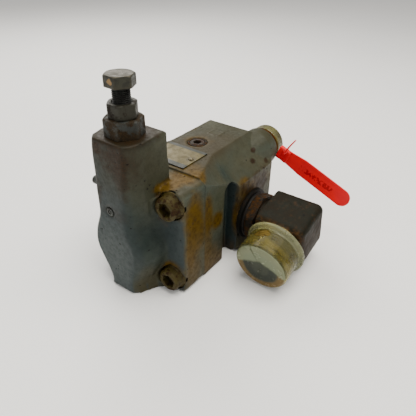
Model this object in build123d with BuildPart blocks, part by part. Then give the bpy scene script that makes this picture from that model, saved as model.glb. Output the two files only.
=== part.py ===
from build123d import *
from math import cos, radians, sin, sqrt, tan
import os

# Pilot operated flow control valve, in millimetres.
# The origin is the middle of the mounting holes on the body's underside.
# +X runs from the pilot head to the rear port, +Z up the adjusting screw, and the side port faces -Y.

os.makedirs("parts", exist_ok=True)

# ---------------------------------------------------------------- driving dimensions

BODY_L = 95.0
BODY_W = 82.0
BODY_H = 90.5
TOP_CHAMFER = 19.5        # cut off both top edges of the body
FRONT_CHAMFER = 5.0       # that cut at the joint face, from where it deepens
CHAMFER_X = -11.0         # where it reaches its full depth
GROOVE_X = (-21.0, -7.0)  # recess between the front section and the side boss
GROOVE_DEPTH = 8.0

HEAD_T = 26.0             # thickness of the head's flange
HEAD_H = 88.5
TOWER_H = 126.5
TOWER_FRONT = 50.5        # from the joint face to the tower's front face
TOWER_BACK = 12.5

JOINT_X = -BODY_L / 2     # the face where head and body meet
ADJ_X = JOINT_X - 33.0    # axis of the adjusting screw
MAIN_Z = 42.0             # axis of the main stage, along X

SCREW_Y = 30.0            # head screws, M12
SCREW_Z = (12.5, 77.5)
SCREW_R = 6.0
SCREW_HEAD_R = 9.0
SCREW_HEAD_H = 12.0
SINK = 5.0                # depth of the counterbores
ENGAGE = 18.0             # thread engagement in the body

THREAD_GAP = 0.05         # radial clearance of a thread drawn as a plain cylinder
RUN_GAP = 0.05            # radial running clearance

ADJ_R = 6.0               # adjusting screw, M12 x 1.25
HEX_M12 = 18.0            # across flats of the lock nut and of the screw's head
HEX_BONNET = 24.0

BONNET_Z = TOWER_H        # the stack on the tower, from the bottom up
NUT_Z = BONNET_Z + 11.5
NUT_H = 10.0
SCREW_HEAD_Z = NUT_Z + NUT_H + 10.0
ADJ_HEAD_H = 7.5

PORT_X, PORT_Z = 13.5, 31.6      # side port, facing -Y
BOSS_Y = -45.0
PORT_R = 16.6
ELBOW_Y = -83.5                  # middle of the elbow's block
ELBOW_HALF = 21.0
ELBOW_TILT = 11.0                # the branch points towards -X and this far down
BRANCH_L = 49.4                  # from the block's middle to the end of the cap
BRANCH_THREAD_R = 20.9

REAR_Y, REAR_Z = -26.2, 72.6     # rear port, facing +X
REAR_BOSS_R = 17.7
REAR_BOSS_L = 10.0
REAR_CONE_L = 14.0
REAR_TAPER = 30.0
REAR_PORT_R = 10.45
NECK_R = 12.5
REAR_THREAD_R = 13.4

GAUGE_Y = 2.0                    # gauge port, in the top face at X = 0
MOUNT_X, MOUNT_Y = 34.0, 18.0    # half the spacings of the mounting holes
MOUNT_R = 3.4                    # tapping drill of M8
MOUNT_DEPTH = 12.0

CAP_GAP = 0.3                    # between a pulled cap and what it covers

# ---------------------------------------------------------------- planes and helpers


def along_x(x, y, z):
    """A plane at this place whose normal is +X, with its own x along Y."""
    return Plane(origin=(x, y, z), x_dir=(0, 1, 0), z_dir=(1, 0, 0))


def along_y(x, y, z):
    """A plane at this place whose normal is +Y."""
    return Plane(origin=(x, y, z), x_dir=(-1, 0, 0), z_dir=(0, 1, 0))


def flat(x, y, z):
    """A plane at this place whose normal is +Z."""
    return Plane(origin=(x, y, z))


def rod(plane, radius, length, mode=Mode.ADD):
    """A cylinder from this plane along its normal."""
    with BuildSketch(plane) as disc:
        Circle(radius)
    return extrude(disc.sketch, amount=length, mode=mode)


def groove(plane, inner, outer, width):
    """A ring cut from this plane along its normal."""
    with BuildSketch(plane) as band:
        Circle(outer)
        Circle(inner, mode=Mode.SUBTRACT)
    extrude(band.sketch, amount=width, mode=Mode.SUBTRACT)


def hexagon(plane, across_flats, height, turn, bevel, both_ends=False):
    """A hexagon bar from this plane along its normal, its corners turned off at the far end or at both."""
    corner = across_flats / sqrt(3)
    with BuildSketch(plane) as outline:
        RegularPolygon(corner, 6, rotation=turn)
    extrude(outline.sketch, amount=height)
    drop = bevel * tan(radians(32))
    foot = [(0, 0), (corner - bevel, 0), (corner, drop)] if both_ends else [(0, 0), (corner, 0)]
    with BuildSketch(Plane(origin=plane.origin, x_dir=plane.x_dir, z_dir=-plane.y_dir)) as turned:
        with BuildLine():
            Polyline(*foot, (corner, height - drop), (corner - bevel, height), (0, height), close=True)
        make_face()
    revolve(turned.sketch, axis=Axis(plane.origin, plane.z_dir), mode=Mode.INTERSECT)


def save(piece, name):
    """Label a finished piece and write its STEP file."""
    piece.part.label = name
    export_step(piece.part, f"parts/{name}.step")


def ring(name, plane, major, minor):
    """A sealing ring whose middle lies on this plane."""
    with BuildPart(plane) as part:
        Torus(major, minor)
    save(part, name)


# ---------------------------------------------------------------- pilot head

# The tower's reach to its right and to its left, at heights up it, for sections from its front edge backwards.
TOWER_Z = (0, 16, 27, 37, 47, 56, 67, 80, 96, 112, TOWER_H)
TOWER_RIGHT = (17.0, 18.5, 23.5, 26.0, 24.5, 21.0, 19.2, 18.7, 18.9, 19.3, 19.5)
TOWER_LEFT = (18.0, 19.5, 26.0, 29.5, 28.5, 25.0, 21.7, 21.5, 21.0, 20.7, 19.5)
TOWER_SECTIONS = (
    (TOWER_FRONT, (8.8, 9.5, 12.0, 14.4, 12.7, 9.6, 8.2, 9.4, 10.7, 12.2, 12.8),
     (12.5, 14.5, 20.0, 23.5, 22.5, 19.0, 15.7, 15.5, 15.0, 14.7, 13.0)),
    (TOWER_FRONT - 5, (13.5, 14.2, 18.5, 21.0, 19.5, 15.6, 14.2, 14.6, 15.6, 16.5, 16.9),
     (17.0, 19.0, 25.5, 29.0, 28.0, 24.5, 21.2, 21.0, 20.5, 20.2, 18.0)),
    (TOWER_FRONT - 14, TOWER_RIGHT, TOWER_LEFT),
    (TOWER_BACK, TOWER_RIGHT, TOWER_LEFT),
)

PILOT_BORE_R = 8.5
BONNET_R = 10.0
SEAT_R = 7.0
SEAT_Z = (62.0, 74.0)
CHAMBER_R = 11.0
CHAMBER_L = 37.0
ORIFICE_R = 3.0
BALL_R = 3.2
FRONT_BALL = (JOINT_X - TOWER_FRONT, 5.0, 71.7)
SIDE_BALL = (ADJ_X - 9.5, 19.0, 88.0)
SIDE_BALL_L = 6.3
PASSAGE_Z = 69.0
PASSAGE_R = 2.0

with BuildPart() as pilot_head:
    with BuildSketch(along_x(JOINT_X, 0, 0)):
        with Locations((0, HEAD_H / 2)):
            RectangleRounded(BODY_W, HEAD_H, 4)
    extrude(amount=-HEAD_T)
    front = pilot_head.faces().sort_by(Axis.X)[0]
    fillet(front.edges(), 2.5)
    for distance, rights, lefts in TOWER_SECTIONS:
        with BuildSketch(along_x(JOINT_X - distance, 0, 0)):
            with BuildLine():
                right = Spline(*[(-reach, z) for reach, z in zip(rights, TOWER_Z)])
                left = Spline(*[(reach, z) for reach, z in zip(lefts, TOWER_Z)])
                Line(right @ 0, left @ 0)
                Line(right @ 1, left @ 1)
            make_face()
    loft(ruled=True)
    # webs that lead the foot of the tower out into the flange
    with BuildSketch(flat(0, 0, 0)):
        with BuildLine():
            foot = [(JOINT_X - 40, 0), (JOINT_X - 40, 16), (JOINT_X - 33, 19), (JOINT_X - HEAD_T + 1, 28)]
            Polyline(*foot, (JOINT_X - HEAD_T + 1, 0), close=True)
        make_face()
        mirror(about=Plane.XZ)
    extrude(amount=HEAD_H - 6)
    # counterbored holes for the head screws
    for y in (-SCREW_Y, SCREW_Y):
        for z in SCREW_Z:
            rod(along_x(JOINT_X, y, z), SCREW_R + 0.6, -HEAD_T, Mode.SUBTRACT)
            rod(along_x(JOINT_X - HEAD_T + SINK, y, z), SCREW_HEAD_R + 1.6, -20, Mode.SUBTRACT)
    # pilot bore, from the top down to the main spring's chamber
    rod(flat(ADJ_X, 0, 106), BONNET_R + THREAD_GAP, 30, Mode.SUBTRACT)
    rod(flat(ADJ_X, 0, SEAT_Z[1]), PILOT_BORE_R, 40, Mode.SUBTRACT)
    rod(flat(ADJ_X, 0, SEAT_Z[0]), SEAT_R + THREAD_GAP, 20, Mode.SUBTRACT)
    rod(flat(ADJ_X, 0, MAIN_Z), ORIFICE_R + THREAD_GAP, 20, Mode.SUBTRACT)
    rod(along_x(JOINT_X, 0, MAIN_Z), CHAMBER_R, -CHAMBER_L, Mode.SUBTRACT)
    # pilot passage from the joint face, and the two drillings closed by ball plugs
    rod(along_x(JOINT_X, 0, PASSAGE_Z), PASSAGE_R, -20, Mode.SUBTRACT)
    rod(along_x(*FRONT_BALL), PASSAGE_R, 14, Mode.SUBTRACT)
    rod(along_x(*FRONT_BALL), BALL_R + THREAD_GAP, 4.5, Mode.SUBTRACT)
    rod(along_y(SIDE_BALL[0], -1, SIDE_BALL[2]), PASSAGE_R, SIDE_BALL[1] + 2, Mode.SUBTRACT)
    rod(along_y(*SIDE_BALL), BALL_R + THREAD_GAP, 8, Mode.SUBTRACT)
save(pilot_head, "pilot_head")


def ball_plug(name, plane, length):
    """A pressed-in expander plug: a cup with a domed rim and a pin driven into its middle."""
    with BuildPart() as plug:
        rod(plane, BALL_R, length)
        fillet(plug.edges().sort_by(Axis(plane.origin, plane.z_dir))[-1], 0.6)
        tip = plane.offset(length)
        groove(tip, 0.9, 1.7, -0.5)
    save(plug, name)


ball_plug("front_ball_plug", Plane(origin=(FRONT_BALL[0] + 4.5, *FRONT_BALL[1:]), z_dir=(-1, 0, 0)), 4.3)
ball_plug("side_ball_plug", along_y(*SIDE_BALL), SIDE_BALL_L)

# ---------------------------------------------------------------- adjuster

VIEW_TURN = 35.3          # the hexagons' corners, turned as they were left when tightened
BONNET_SHANK = 18.5
PLUNGER_TOP = BONNET_Z - 8.5
PLUNGER_L = 17.0
PLUNGER_R = SEAT_R - RUN_GAP
POPPET_COLLAR_Z = 84.0
O_RING_Z = BONNET_Z - 13.0
PLUNGER_RING_Z = PLUNGER_TOP - 5.5

with BuildPart() as adjuster_bonnet:
    hexagon(flat(ADJ_X, 0, BONNET_Z), HEX_BONNET, NUT_Z - BONNET_Z, VIEW_TURN - 11.5, 1.6)
    rod(flat(ADJ_X, 0, BONNET_Z), BONNET_R, -BONNET_SHANK)
    groove(flat(ADJ_X, 0, O_RING_Z - 1.1), 8.1, BONNET_R + 1, 2.2)
    rod(flat(ADJ_X, 0, BONNET_Z), ADJ_R + THREAD_GAP, 20, Mode.SUBTRACT)
    rod(flat(ADJ_X, 0, BONNET_Z - 4.5), ADJ_R + THREAD_GAP, 6, Mode.SUBTRACT)
    rod(flat(ADJ_X, 0, BONNET_Z - 4.5), SEAT_R, -20, Mode.SUBTRACT)
save(adjuster_bonnet, "adjuster_bonnet")

ring("bonnet_o_ring", flat(ADJ_X, 0, O_RING_Z), 9.1, 0.9)

with BuildPart() as lock_nut:
    hexagon(flat(ADJ_X, 0, NUT_Z), HEX_M12, NUT_H, VIEW_TURN - 30, 1.3, both_ends=True)
    rod(flat(ADJ_X, 0, NUT_Z), ADJ_R + THREAD_GAP, NUT_H, Mode.SUBTRACT)
save(lock_nut, "lock_nut")

with BuildPart() as adjusting_screw:
    hexagon(flat(ADJ_X, 0, SCREW_HEAD_Z), HEX_M12, ADJ_HEAD_H, VIEW_TURN - 9, 1.6)
    rod(flat(ADJ_X, 0, SCREW_HEAD_Z), ADJ_R, PLUNGER_TOP - SCREW_HEAD_Z)
    chamfer(adjusting_screw.edges().sort_by(Axis.Z)[0], 1)
save(adjusting_screw, "adjusting_screw")

with BuildPart() as spring_plunger:
    rod(flat(ADJ_X, 0, PLUNGER_TOP), PLUNGER_R, -PLUNGER_L)
    groove(flat(ADJ_X, 0, PLUNGER_RING_Z - 1), 5.1, PLUNGER_R + 1, 2)
    rod(flat(ADJ_X, 0, PLUNGER_TOP - PLUNGER_L), 4.2, -3)
    chamfer(spring_plunger.edges().sort_by(Axis.Z)[0], 0.6)
save(spring_plunger, "spring_plunger")

ring("plunger_o_ring", flat(ADJ_X, 0, PLUNGER_RING_Z), 6.05, 0.85)


def coil_spring(name, plane, start, length, turns, radius, wire):
    """A coil spring between two flat seats, its wire's middle a wire radius inside each."""
    pitch = (length - 2 * wire) / turns
    with BuildPart() as spring:
        with BuildLine() as path:
            Helix(pitch, pitch * turns, radius, center=(0, 0, 0))
        with BuildSketch(Plane(origin=path.line @ 0, z_dir=path.line % 0)):
            Circle(wire)
        sweep(path=path.line, is_frenet=True)
    spring.part.label = name
    placed = plane.offset(start + wire).location * spring.part
    placed.label = name
    export_step(placed, f"parts/{name}.step")


SPRING_TOP = PLUNGER_TOP - PLUNGER_L
coil_spring("pilot_spring", flat(ADJ_X, 0, 0), POPPET_COLLAR_Z + 0.1, SPRING_TOP - POPPET_COLLAR_Z - 0.2, 4.5, 5.5, 0.8)

with BuildPart() as pilot_poppet:
    with BuildSketch(Plane(origin=(ADJ_X, 0, 0), x_dir=(1, 0, 0), z_dir=(0, -1, 0))):
        with BuildLine():
            shape = [(0, 72.1), (2.9, 75), (2.9, 81), (7.0, 81), (7.0, POPPET_COLLAR_Z)]
            Polyline(*shape, (4.2, POPPET_COLLAR_Z), (4.2, 87), (0, 87), close=True)
        make_face()
    revolve(axis=Axis((ADJ_X, 0, 0), (0, 0, 1)))
save(pilot_poppet, "pilot_poppet")

with BuildPart() as pilot_seat:
    rod(flat(ADJ_X, 0, SEAT_Z[0]), SEAT_R, SEAT_Z[1] - SEAT_Z[0])
    groove(flat(ADJ_X, 0, 64), 5.3, SEAT_R + 1, 2)
    rod(flat(ADJ_X, 0, SEAT_Z[0]), 1.2, 8, Mode.SUBTRACT)
    rod(flat(ADJ_X, 0, SEAT_Z[0] + 8), 2.05, 8, Mode.SUBTRACT)
    rod(along_x(ADJ_X, 0, PASSAGE_Z), 1.0, 10, Mode.SUBTRACT)
save(pilot_seat, "pilot_seat")

ring("pilot_seat_o_ring", flat(ADJ_X, 0, 65), 6.15, 0.8)

with BuildPart() as damping_orifice:
    rod(flat(ADJ_X, 0, 55), ORIFICE_R, 6)
    rod(flat(ADJ_X, 0, 55), 0.6, 6, Mode.SUBTRACT)
    with BuildSketch(flat(ADJ_X, 0, 61)):
        Rectangle(8, 0.9)
    extrude(amount=-1.2, mode=Mode.SUBTRACT)
save(damping_orifice, "damping_orifice")

# ---------------------------------------------------------------- head screws

SOCKET_M12 = 10.0
screw_face = JOINT_X - HEAD_T + SINK - SCREW_HEAD_H

with BuildPart() as head_screws:
    for y in (-SCREW_Y, SCREW_Y):
        for z in SCREW_Z:
            rod(along_x(screw_face, y, z), SCREW_HEAD_R, SCREW_HEAD_H)
            rod(along_x(screw_face + SCREW_HEAD_H, y, z), SCREW_R, HEAD_T - SINK + ENGAGE)
            with BuildSketch(along_x(screw_face, y, z)):
                RegularPolygon(SOCKET_M12 / sqrt(3), 6, rotation=12)
            extrude(amount=6, mode=Mode.SUBTRACT)
    rims = head_screws.edges().filter_by(GeomType.CIRCLE).group_by(Axis.X)[0]
    chamfer(rims, 1.1)
save(head_screws, "head_screws")

# ---------------------------------------------------------------- main body

SLEEVE_R = 18.0
SLEEVE_END = 20.0
SEAT_END_R = 9.0
boss_l = BODY_L / 2 - GROOVE_X[1]
boss_mid = (BODY_L / 2 + GROOVE_X[1]) / 2
BOSS_H = 74.0
rear_x = BODY_L / 2 + REAR_BOSS_L

with BuildPart() as main_body:
    with BuildSketch(along_x(JOINT_X, 0, 0)):
        with Locations((0, BODY_H / 2)):
            Rectangle(BODY_W, BODY_H)
    extrude(amount=BODY_L)
    rear_edges = main_body.faces().sort_by(Axis.X)[-1].edges()
    fillet(rear_edges, 3)
    # recess in the right side, then the side port's boss
    with BuildSketch(along_y(sum(GROOVE_X) / 2, -BODY_W / 2, 32)):
        SlotOverall(80, GROOVE_X[1] - GROOVE_X[0], rotation=90)
    extrude(amount=GROOVE_DEPTH, mode=Mode.SUBTRACT)
    with BuildSketch(along_y(boss_mid, -BODY_W / 2 + 2, BOSS_H / 2)):
        RectangleRounded(boss_l, BOSS_H, 5)
    extrude(amount=BOSS_Y + BODY_W / 2 - 2)
    # the top edges are cut off at 45 degrees, deeper and deeper up to the side boss
    for side in (-1, 1):
        for x, depth in ((JOINT_X - 1, FRONT_CHAMFER), (CHAMFER_X, TOP_CHAMFER), (BODY_L, TOP_CHAMFER)):
            edge = side * (BODY_W / 2 - depth)
            with BuildSketch(along_x(x, 0, 0)):
                with BuildLine():
                    Polyline(
                        (edge - side * 5, BODY_H + 5),
                        (edge + side * 35, BODY_H + 5),
                        (edge + side * 35, BODY_H - 35),
                        close=True,
                    )
                make_face()
        loft(ruled=True, mode=Mode.SUBTRACT)
    # rear boss, growing out of the body as a cone
    rod(along_x(BODY_L / 2, REAR_Y, REAR_Z), REAR_BOSS_R, REAR_BOSS_L)
    with BuildSketch(along_x(BODY_L / 2, REAR_Y, REAR_Z)):
        Circle(REAR_BOSS_R)
    extrude(amount=-REAR_CONE_L, taper=REAR_TAPER)
    # main bore
    rod(along_x(JOINT_X, 0, MAIN_Z), SLEEVE_R + THREAD_GAP, SLEEVE_END - JOINT_X + 2, Mode.SUBTRACT)
    rod(along_x(JOINT_X, 0, MAIN_Z), SLEEVE_R - 4, 83, Mode.SUBTRACT)
    groove(along_x(JOINT_X, 0, MAIN_Z), SLEEVE_R - 1, 20.4, 2.2)
    # side port, with its spot face
    rod(along_y(PORT_X, BOSS_Y, PORT_Z), PORT_R, 20, Mode.SUBTRACT)
    rod(along_y(PORT_X, BOSS_Y, PORT_Z), 12, 36, Mode.SUBTRACT)
    # rear port and the drilling that leads to it
    rod(along_x(rear_x, REAR_Y, REAR_Z), REAR_PORT_R, -9.5, Mode.SUBTRACT)
    rod(along_x(rear_x, REAR_Y, REAR_Z), 7.5, -30, Mode.SUBTRACT)
    slant = Vector(-2, -REAR_Y, MAIN_Z - REAR_Z)
    rod(Plane(origin=(32, REAR_Y, REAR_Z), z_dir=slant), 6.5, slant.length, Mode.SUBTRACT)
    # gauge port
    rod(flat(0, GAUGE_Y, BODY_H), 8.4, -2.0, Mode.SUBTRACT)
    rod(flat(0, GAUGE_Y, BODY_H), 6.6, -12, Mode.SUBTRACT)
    rod(flat(0, GAUGE_Y, BODY_H), 2.2, -(BODY_H - MAIN_Z - 12), Mode.SUBTRACT)
    # pilot passage
    rod(along_x(JOINT_X, 0, PASSAGE_Z), PASSAGE_R, 10, Mode.SUBTRACT)
    groove(along_x(JOINT_X, 0, PASSAGE_Z), PASSAGE_R, 5.6, 1.5)
    rod(flat(JOINT_X + 7.5, 0, PASSAGE_Z), PASSAGE_R - 0.4, -12, Mode.SUBTRACT)
    # tapped holes: head screws and mounting
    for y in (-SCREW_Y, SCREW_Y):
        for z in SCREW_Z:
            rod(along_x(JOINT_X, y, z), SCREW_R + THREAD_GAP, ENGAGE + 3, Mode.SUBTRACT)
    for x in (-MOUNT_X, MOUNT_X):
        for y in (-MOUNT_Y, MOUNT_Y):
            rod(flat(x, y, 0), MOUNT_R, MOUNT_DEPTH, Mode.SUBTRACT)
    # raised square on the top
    with BuildSketch(flat(24, 0, BODY_H - 0.5)):
        Rectangle(11, 11)
        Rectangle(9, 9, mode=Mode.SUBTRACT)
    extrude(amount=0.9)
save(main_body, "main_body")

with BuildPart() as joint_o_rings:
    with Locations(along_x(JOINT_X + 1.1, 0, MAIN_Z)):
        Torus(19.3, 0.95)
    with Locations(along_x(JOINT_X + 0.8, 0, PASSAGE_Z)):
        Torus(4.7, 0.65)
save(joint_o_rings, "joint_o_rings")

# ---------------------------------------------------------------- main stage

PISTON_R = 12.0
PISTON_X = (-38.0, 13.0)  # seated; it travels 8 towards the head
SLEEVE_RINGS = (-30.0, 0.0)
SPRING_BACK = JOINT_X - CHAMBER_L
SPRING_SEAT = -14.0

with BuildPart() as main_sleeve:
    rod(along_x(JOINT_X + 2.4, 0, MAIN_Z), SLEEVE_R, SLEEVE_END - JOINT_X - 2.4)
    rod(along_x(JOINT_X + 2.4, 0, MAIN_Z), PISTON_R + RUN_GAP, PISTON_X[1] + 3 - JOINT_X - 2.4, Mode.SUBTRACT)
    rod(along_x(PISTON_X[1], 0, MAIN_Z), SEAT_END_R, 20, Mode.SUBTRACT)
    for x in SLEEVE_RINGS:
        groove(along_x(x - 1.3, 0, MAIN_Z), 15.9, SLEEVE_R + 1, 2.6)
    for angle in (0, 60, 120):
        with BuildSketch(Plane(origin=(PISTON_X[1] - 5, 0, MAIN_Z), x_dir=(1, 0, 0),
                               z_dir=(0, cos(radians(angle)), sin(radians(angle))))):
            Circle(3.6)
        extrude(amount=25, both=True, mode=Mode.SUBTRACT)
save(main_sleeve, "main_sleeve")

with BuildPart() as sleeve_o_rings:
    for x in SLEEVE_RINGS:
        with Locations(along_x(x, 0, MAIN_Z)):
            Torus(16.95, 0.95)
save(sleeve_o_rings, "sleeve_o_rings")

with BuildPart() as main_piston:
    rod(along_x(PISTON_X[0], 0, MAIN_Z), PISTON_R, PISTON_X[1] + 3 - PISTON_X[0])
    chamfer(main_piston.faces().sort_by(Axis.X)[-1].edges(), length=3.1)
    rod(along_x(PISTON_X[0], 0, MAIN_Z), 8.6, SPRING_SEAT - PISTON_X[0], Mode.SUBTRACT)
    rod(along_x(SPRING_SEAT, 0, MAIN_Z), 0.6, 40, Mode.SUBTRACT)
    for x in (-32, -24, -16):
        groove(along_x(x, 0, MAIN_Z), PISTON_R - 0.5, PISTON_R + 1, 0.8)
save(main_piston, "main_piston")

coil_spring("main_spring", along_x(0, 0, MAIN_Z), SPRING_BACK + 0.1, SPRING_SEAT - SPRING_BACK - 0.2, 11, 7.2, 1.1)

# ---------------------------------------------------------------- gauge port and nameplate

PLATE_X = (JOINT_X + 3.0, JOINT_X + 33.5)
PLATE_W = 36.5
PLATE_T = 0.8
RIVETS = (-14.2, 14.2)
plate_mid = sum(PLATE_X) / 2

with BuildPart() as gauge_port_plug:
    rod(flat(0, GAUGE_Y, BODY_H - 0.4), 6.5, -11)
    with BuildSketch(flat(0, GAUGE_Y, BODY_H - 0.4)):
        RegularPolygon(6 / sqrt(3), 6, rotation=20)
    extrude(amount=-5.5, mode=Mode.SUBTRACT)
save(gauge_port_plug, "gauge_port_plug")

with BuildPart() as gauge_plug_seal:
    with BuildSketch(flat(0, GAUGE_Y, BODY_H - 2.0)):
        Circle(8.2)
        Circle(6.6, mode=Mode.SUBTRACT)
    extrude(amount=1.5)
    fillet(gauge_plug_seal.faces().sort_by(Axis.Z)[-1].edges(), 0.5)
save(gauge_plug_seal, "gauge_plug_seal")

with BuildPart() as nameplate:
    with BuildSketch(flat(plate_mid, 0, BODY_H)):
        RectangleRounded(PLATE_X[1] - PLATE_X[0], PLATE_W, 1)
        with Locations((-0.5, RIVETS[0]), (-0.5, RIVETS[1])):
            Circle(1.3, mode=Mode.SUBTRACT)
    extrude(amount=PLATE_T)
save(nameplate, "nameplate")

with BuildPart() as nameplate_rivets:
    for y in RIVETS:
        rod(flat(plate_mid - 0.5, y, BODY_H), 1.25, PLATE_T)
        rod(flat(plate_mid - 0.5, y, BODY_H + PLATE_T), 2.1, 1.2)
    fillet(nameplate_rivets.faces().group_by(Axis.Z)[-1].edges(), 1.0)
save(nameplate_rivets, "nameplate_rivets")

# ---------------------------------------------------------------- elbow at the side port

tilt = radians(ELBOW_TILT)
branch = Vector(-cos(tilt), 0, -sin(tilt))
elbow_mid = Vector(PORT_X, ELBOW_Y, PORT_Z)


def on_branch(distance):
    """A plane across the elbow's branch, this far from the block's middle, facing outwards."""
    return Plane(origin=elbow_mid + branch * distance, x_dir=(0, 1, 0), z_dir=branch)


WASHER_T = 3.2
RUBBER_T = 2.6
NUT_T = 8.0
stud_y = BOSS_Y - WASHER_T - RUBBER_T - NUT_T
BRANCH_END = BRANCH_L - 2.3        # the fitting's own end, under the cap
BORE_R = 12.8

with BuildPart() as elbow_fitting:
    # the block, turned with its branch about the port's axis
    with BuildSketch(Plane(origin=elbow_mid + Vector(0, ELBOW_HALF, 0), x_dir=branch, z_dir=(0, -1, 0))):
        RectangleRounded(2 * ELBOW_HALF, 2 * ELBOW_HALF, 7)
    extrude(amount=2 * ELBOW_HALF)
    outer = elbow_fitting.faces().sort_by(Axis.Y)[0]
    fillet(outer.edges(), 6)
    rod(on_branch(ELBOW_HALF - 2), BRANCH_THREAD_R - 0.6, 6)
    rod(on_branch(ELBOW_HALF + 4), BRANCH_THREAD_R, BRANCH_END - ELBOW_HALF - 4)
    chamfer(elbow_fitting.faces().sort_by(Axis(elbow_mid, branch))[-1].edges(), 1.2)
    rod(along_y(PORT_X, ELBOW_Y + ELBOW_HALF - 1, PORT_Z), 15.5, stud_y - ELBOW_Y - ELBOW_HALF + 1)
    rod(along_y(PORT_X, stud_y, PORT_Z), PORT_R - 0.1, BOSS_Y - stud_y + 17)
    # flow bores meet in the middle; the branch ends in a 24 degree cone
    rod(along_y(PORT_X, ELBOW_Y - BORE_R, PORT_Z), BORE_R, 90, Mode.SUBTRACT)
    rod(on_branch(0), BORE_R - 0.5, 60, Mode.SUBTRACT)
    with BuildSketch(on_branch(BRANCH_END)):
        Circle(16.0)
    extrude(amount=-7, taper=12, mode=Mode.SUBTRACT)
save(elbow_fitting, "elbow_fitting")

with BuildPart() as elbow_jam_nut:
    hexagon(along_y(PORT_X, stud_y, PORT_Z), 38, NUT_T, 20, 1.6, both_ends=True)
    rod(along_y(PORT_X, stud_y, PORT_Z), PORT_R, NUT_T, Mode.SUBTRACT)
save(elbow_jam_nut, "elbow_jam_nut")

with BuildPart() as elbow_o_ring:
    with BuildSketch(along_y(PORT_X, stud_y + NUT_T, PORT_Z)):
        Circle(20.3)
        Circle(PORT_R, mode=Mode.SUBTRACT)
    extrude(amount=RUBBER_T)
    fillet(elbow_o_ring.edges().filter_by(GeomType.CIRCLE).group_by(SortBy.RADIUS)[-1], 1.0)
save(elbow_o_ring, "elbow_o_ring")

with BuildPart() as elbow_washer:
    with BuildSketch(along_y(PORT_X, BOSS_Y - WASHER_T, PORT_Z)):
        Circle(22.6)
        Circle(PORT_R + 0.1, mode=Mode.SUBTRACT)
    extrude(amount=WASHER_T)
    chamfer(elbow_washer.edges().filter_by(GeomType.CIRCLE).group_by(SortBy.RADIUS)[-1], 0.6)
save(elbow_washer, "elbow_washer")

CAP_R = 22.3
LIP_R = 25.4
CAP_START = ELBOW_HALF + 2.6

with BuildPart() as elbow_cap:
    rod(on_branch(CAP_START), CAP_R, BRANCH_L - CAP_START)
    fillet(elbow_cap.faces().sort_by(Axis(elbow_mid, branch))[-1].edges(), 2)
    rod(on_branch(CAP_START), LIP_R, 4.0)
    lip = elbow_cap.edges().filter_by(GeomType.CIRCLE).filter_by(lambda e: abs(e.radius - LIP_R) < 0.01)
    fillet(lip, 1.8)
    rod(on_branch(CAP_START), BRANCH_THREAD_R + CAP_GAP, BRANCH_END + CAP_GAP - CAP_START, Mode.SUBTRACT)
save(elbow_cap, "elbow_cap")

# ---------------------------------------------------------------- rear port

NECK_L = 4.2
SEAL_T = 1.5
REAR_END = 12.0          # the adapter's end, past the boss
REAR_CAP_R = 16.1

with BuildPart() as rear_adapter:
    rod(along_x(rear_x, REAR_Y, REAR_Z), REAR_PORT_R - THREAD_GAP, -9.3)
    rod(along_x(rear_x, REAR_Y, REAR_Z), NECK_R, NECK_L)
    rod(along_x(rear_x + NECK_L, REAR_Y, REAR_Z), REAR_THREAD_R, REAR_END - NECK_L)
    chamfer(rear_adapter.faces().sort_by(Axis.X)[-1].edges(), 1.0)
    groove(along_x(rear_x, REAR_Y, REAR_Z), 9.2, 11.6, SEAL_T)
    rod(along_x(rear_x - 10, REAR_Y, REAR_Z), 7, 30, Mode.SUBTRACT)
save(rear_adapter, "rear_adapter")

with BuildPart() as rear_adapter_seal:
    with BuildSketch(along_x(rear_x, REAR_Y, REAR_Z)):
        Circle(11.5)
        Circle(REAR_PORT_R + 0.05, mode=Mode.SUBTRACT)
    extrude(amount=SEAL_T - 0.1)
save(rear_adapter_seal, "rear_adapter_seal")

with BuildPart() as rear_cap:
    rod(along_x(rear_x + NECK_L, REAR_Y, REAR_Z), REAR_CAP_R, REAR_END - NECK_L + 2.8)
    fillet(rear_cap.faces().sort_by(Axis.X)[-1].edges(), 1.6)
    rod(along_x(rear_x + NECK_L, REAR_Y, REAR_Z), REAR_THREAD_R + CAP_GAP, REAR_END - NECK_L + CAP_GAP,
        Mode.SUBTRACT)
save(rear_cap, "rear_cap")

# ---------------------------------------------------------------- security seal

TAG_X = rear_x + NECK_L / 2
STRAP_R = NECK_R + 0.3   # inside of the loop round the neck
STRAP_T = 1.2
STRAP_W = 2.6
TAG_T = 1.4
LOCK = (REAR_Y - 23.0, REAR_Z - 2.2)     # middle of the lock housing, Y and Z
LOCK_W, LOCK_H, LOCK_T = 12.0, 13.0, 4.2
TAG_SLOPE = 22.5
TAG_L = 74.0
TAG_W = 16.5
CLEAR_R = REAR_CAP_R + CAP_GAP           # the lock stays outside this radius round the neck

slope = radians(TAG_SLOPE)
down = Vector(0, -cos(slope), -sin(slope))
tag_plane = Plane(origin=(TAG_X - TAG_T / 2, *LOCK), x_dir=down, z_dir=(1, 0, 0))

with BuildPart() as seal_tag:
    with BuildSketch(tag_plane):
        with Locations((TAG_L / 2 - 4, 0)):
            SlotOverall(TAG_L, TAG_W)
    extrude(amount=TAG_T)
    with BuildSketch(tag_plane.offset((TAG_T - LOCK_T) / 2)):
        RectangleRounded(LOCK_W, LOCK_H, 2)
    extrude(amount=LOCK_T)
    fillet(seal_tag.faces().sort_by(Axis.X)[0].edges(), 0.6)
    # clear of the boss, the cap and the strap's loop
    rod(along_x(rear_x - 5, REAR_Y, REAR_Z), CLEAR_R, 20, Mode.SUBTRACT)
    rod(along_x(rear_x - 5, REAR_Y, REAR_Z), REAR_BOSS_R + CAP_GAP, 5.3, Mode.SUBTRACT)
save(seal_tag, "seal_tag")

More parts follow.
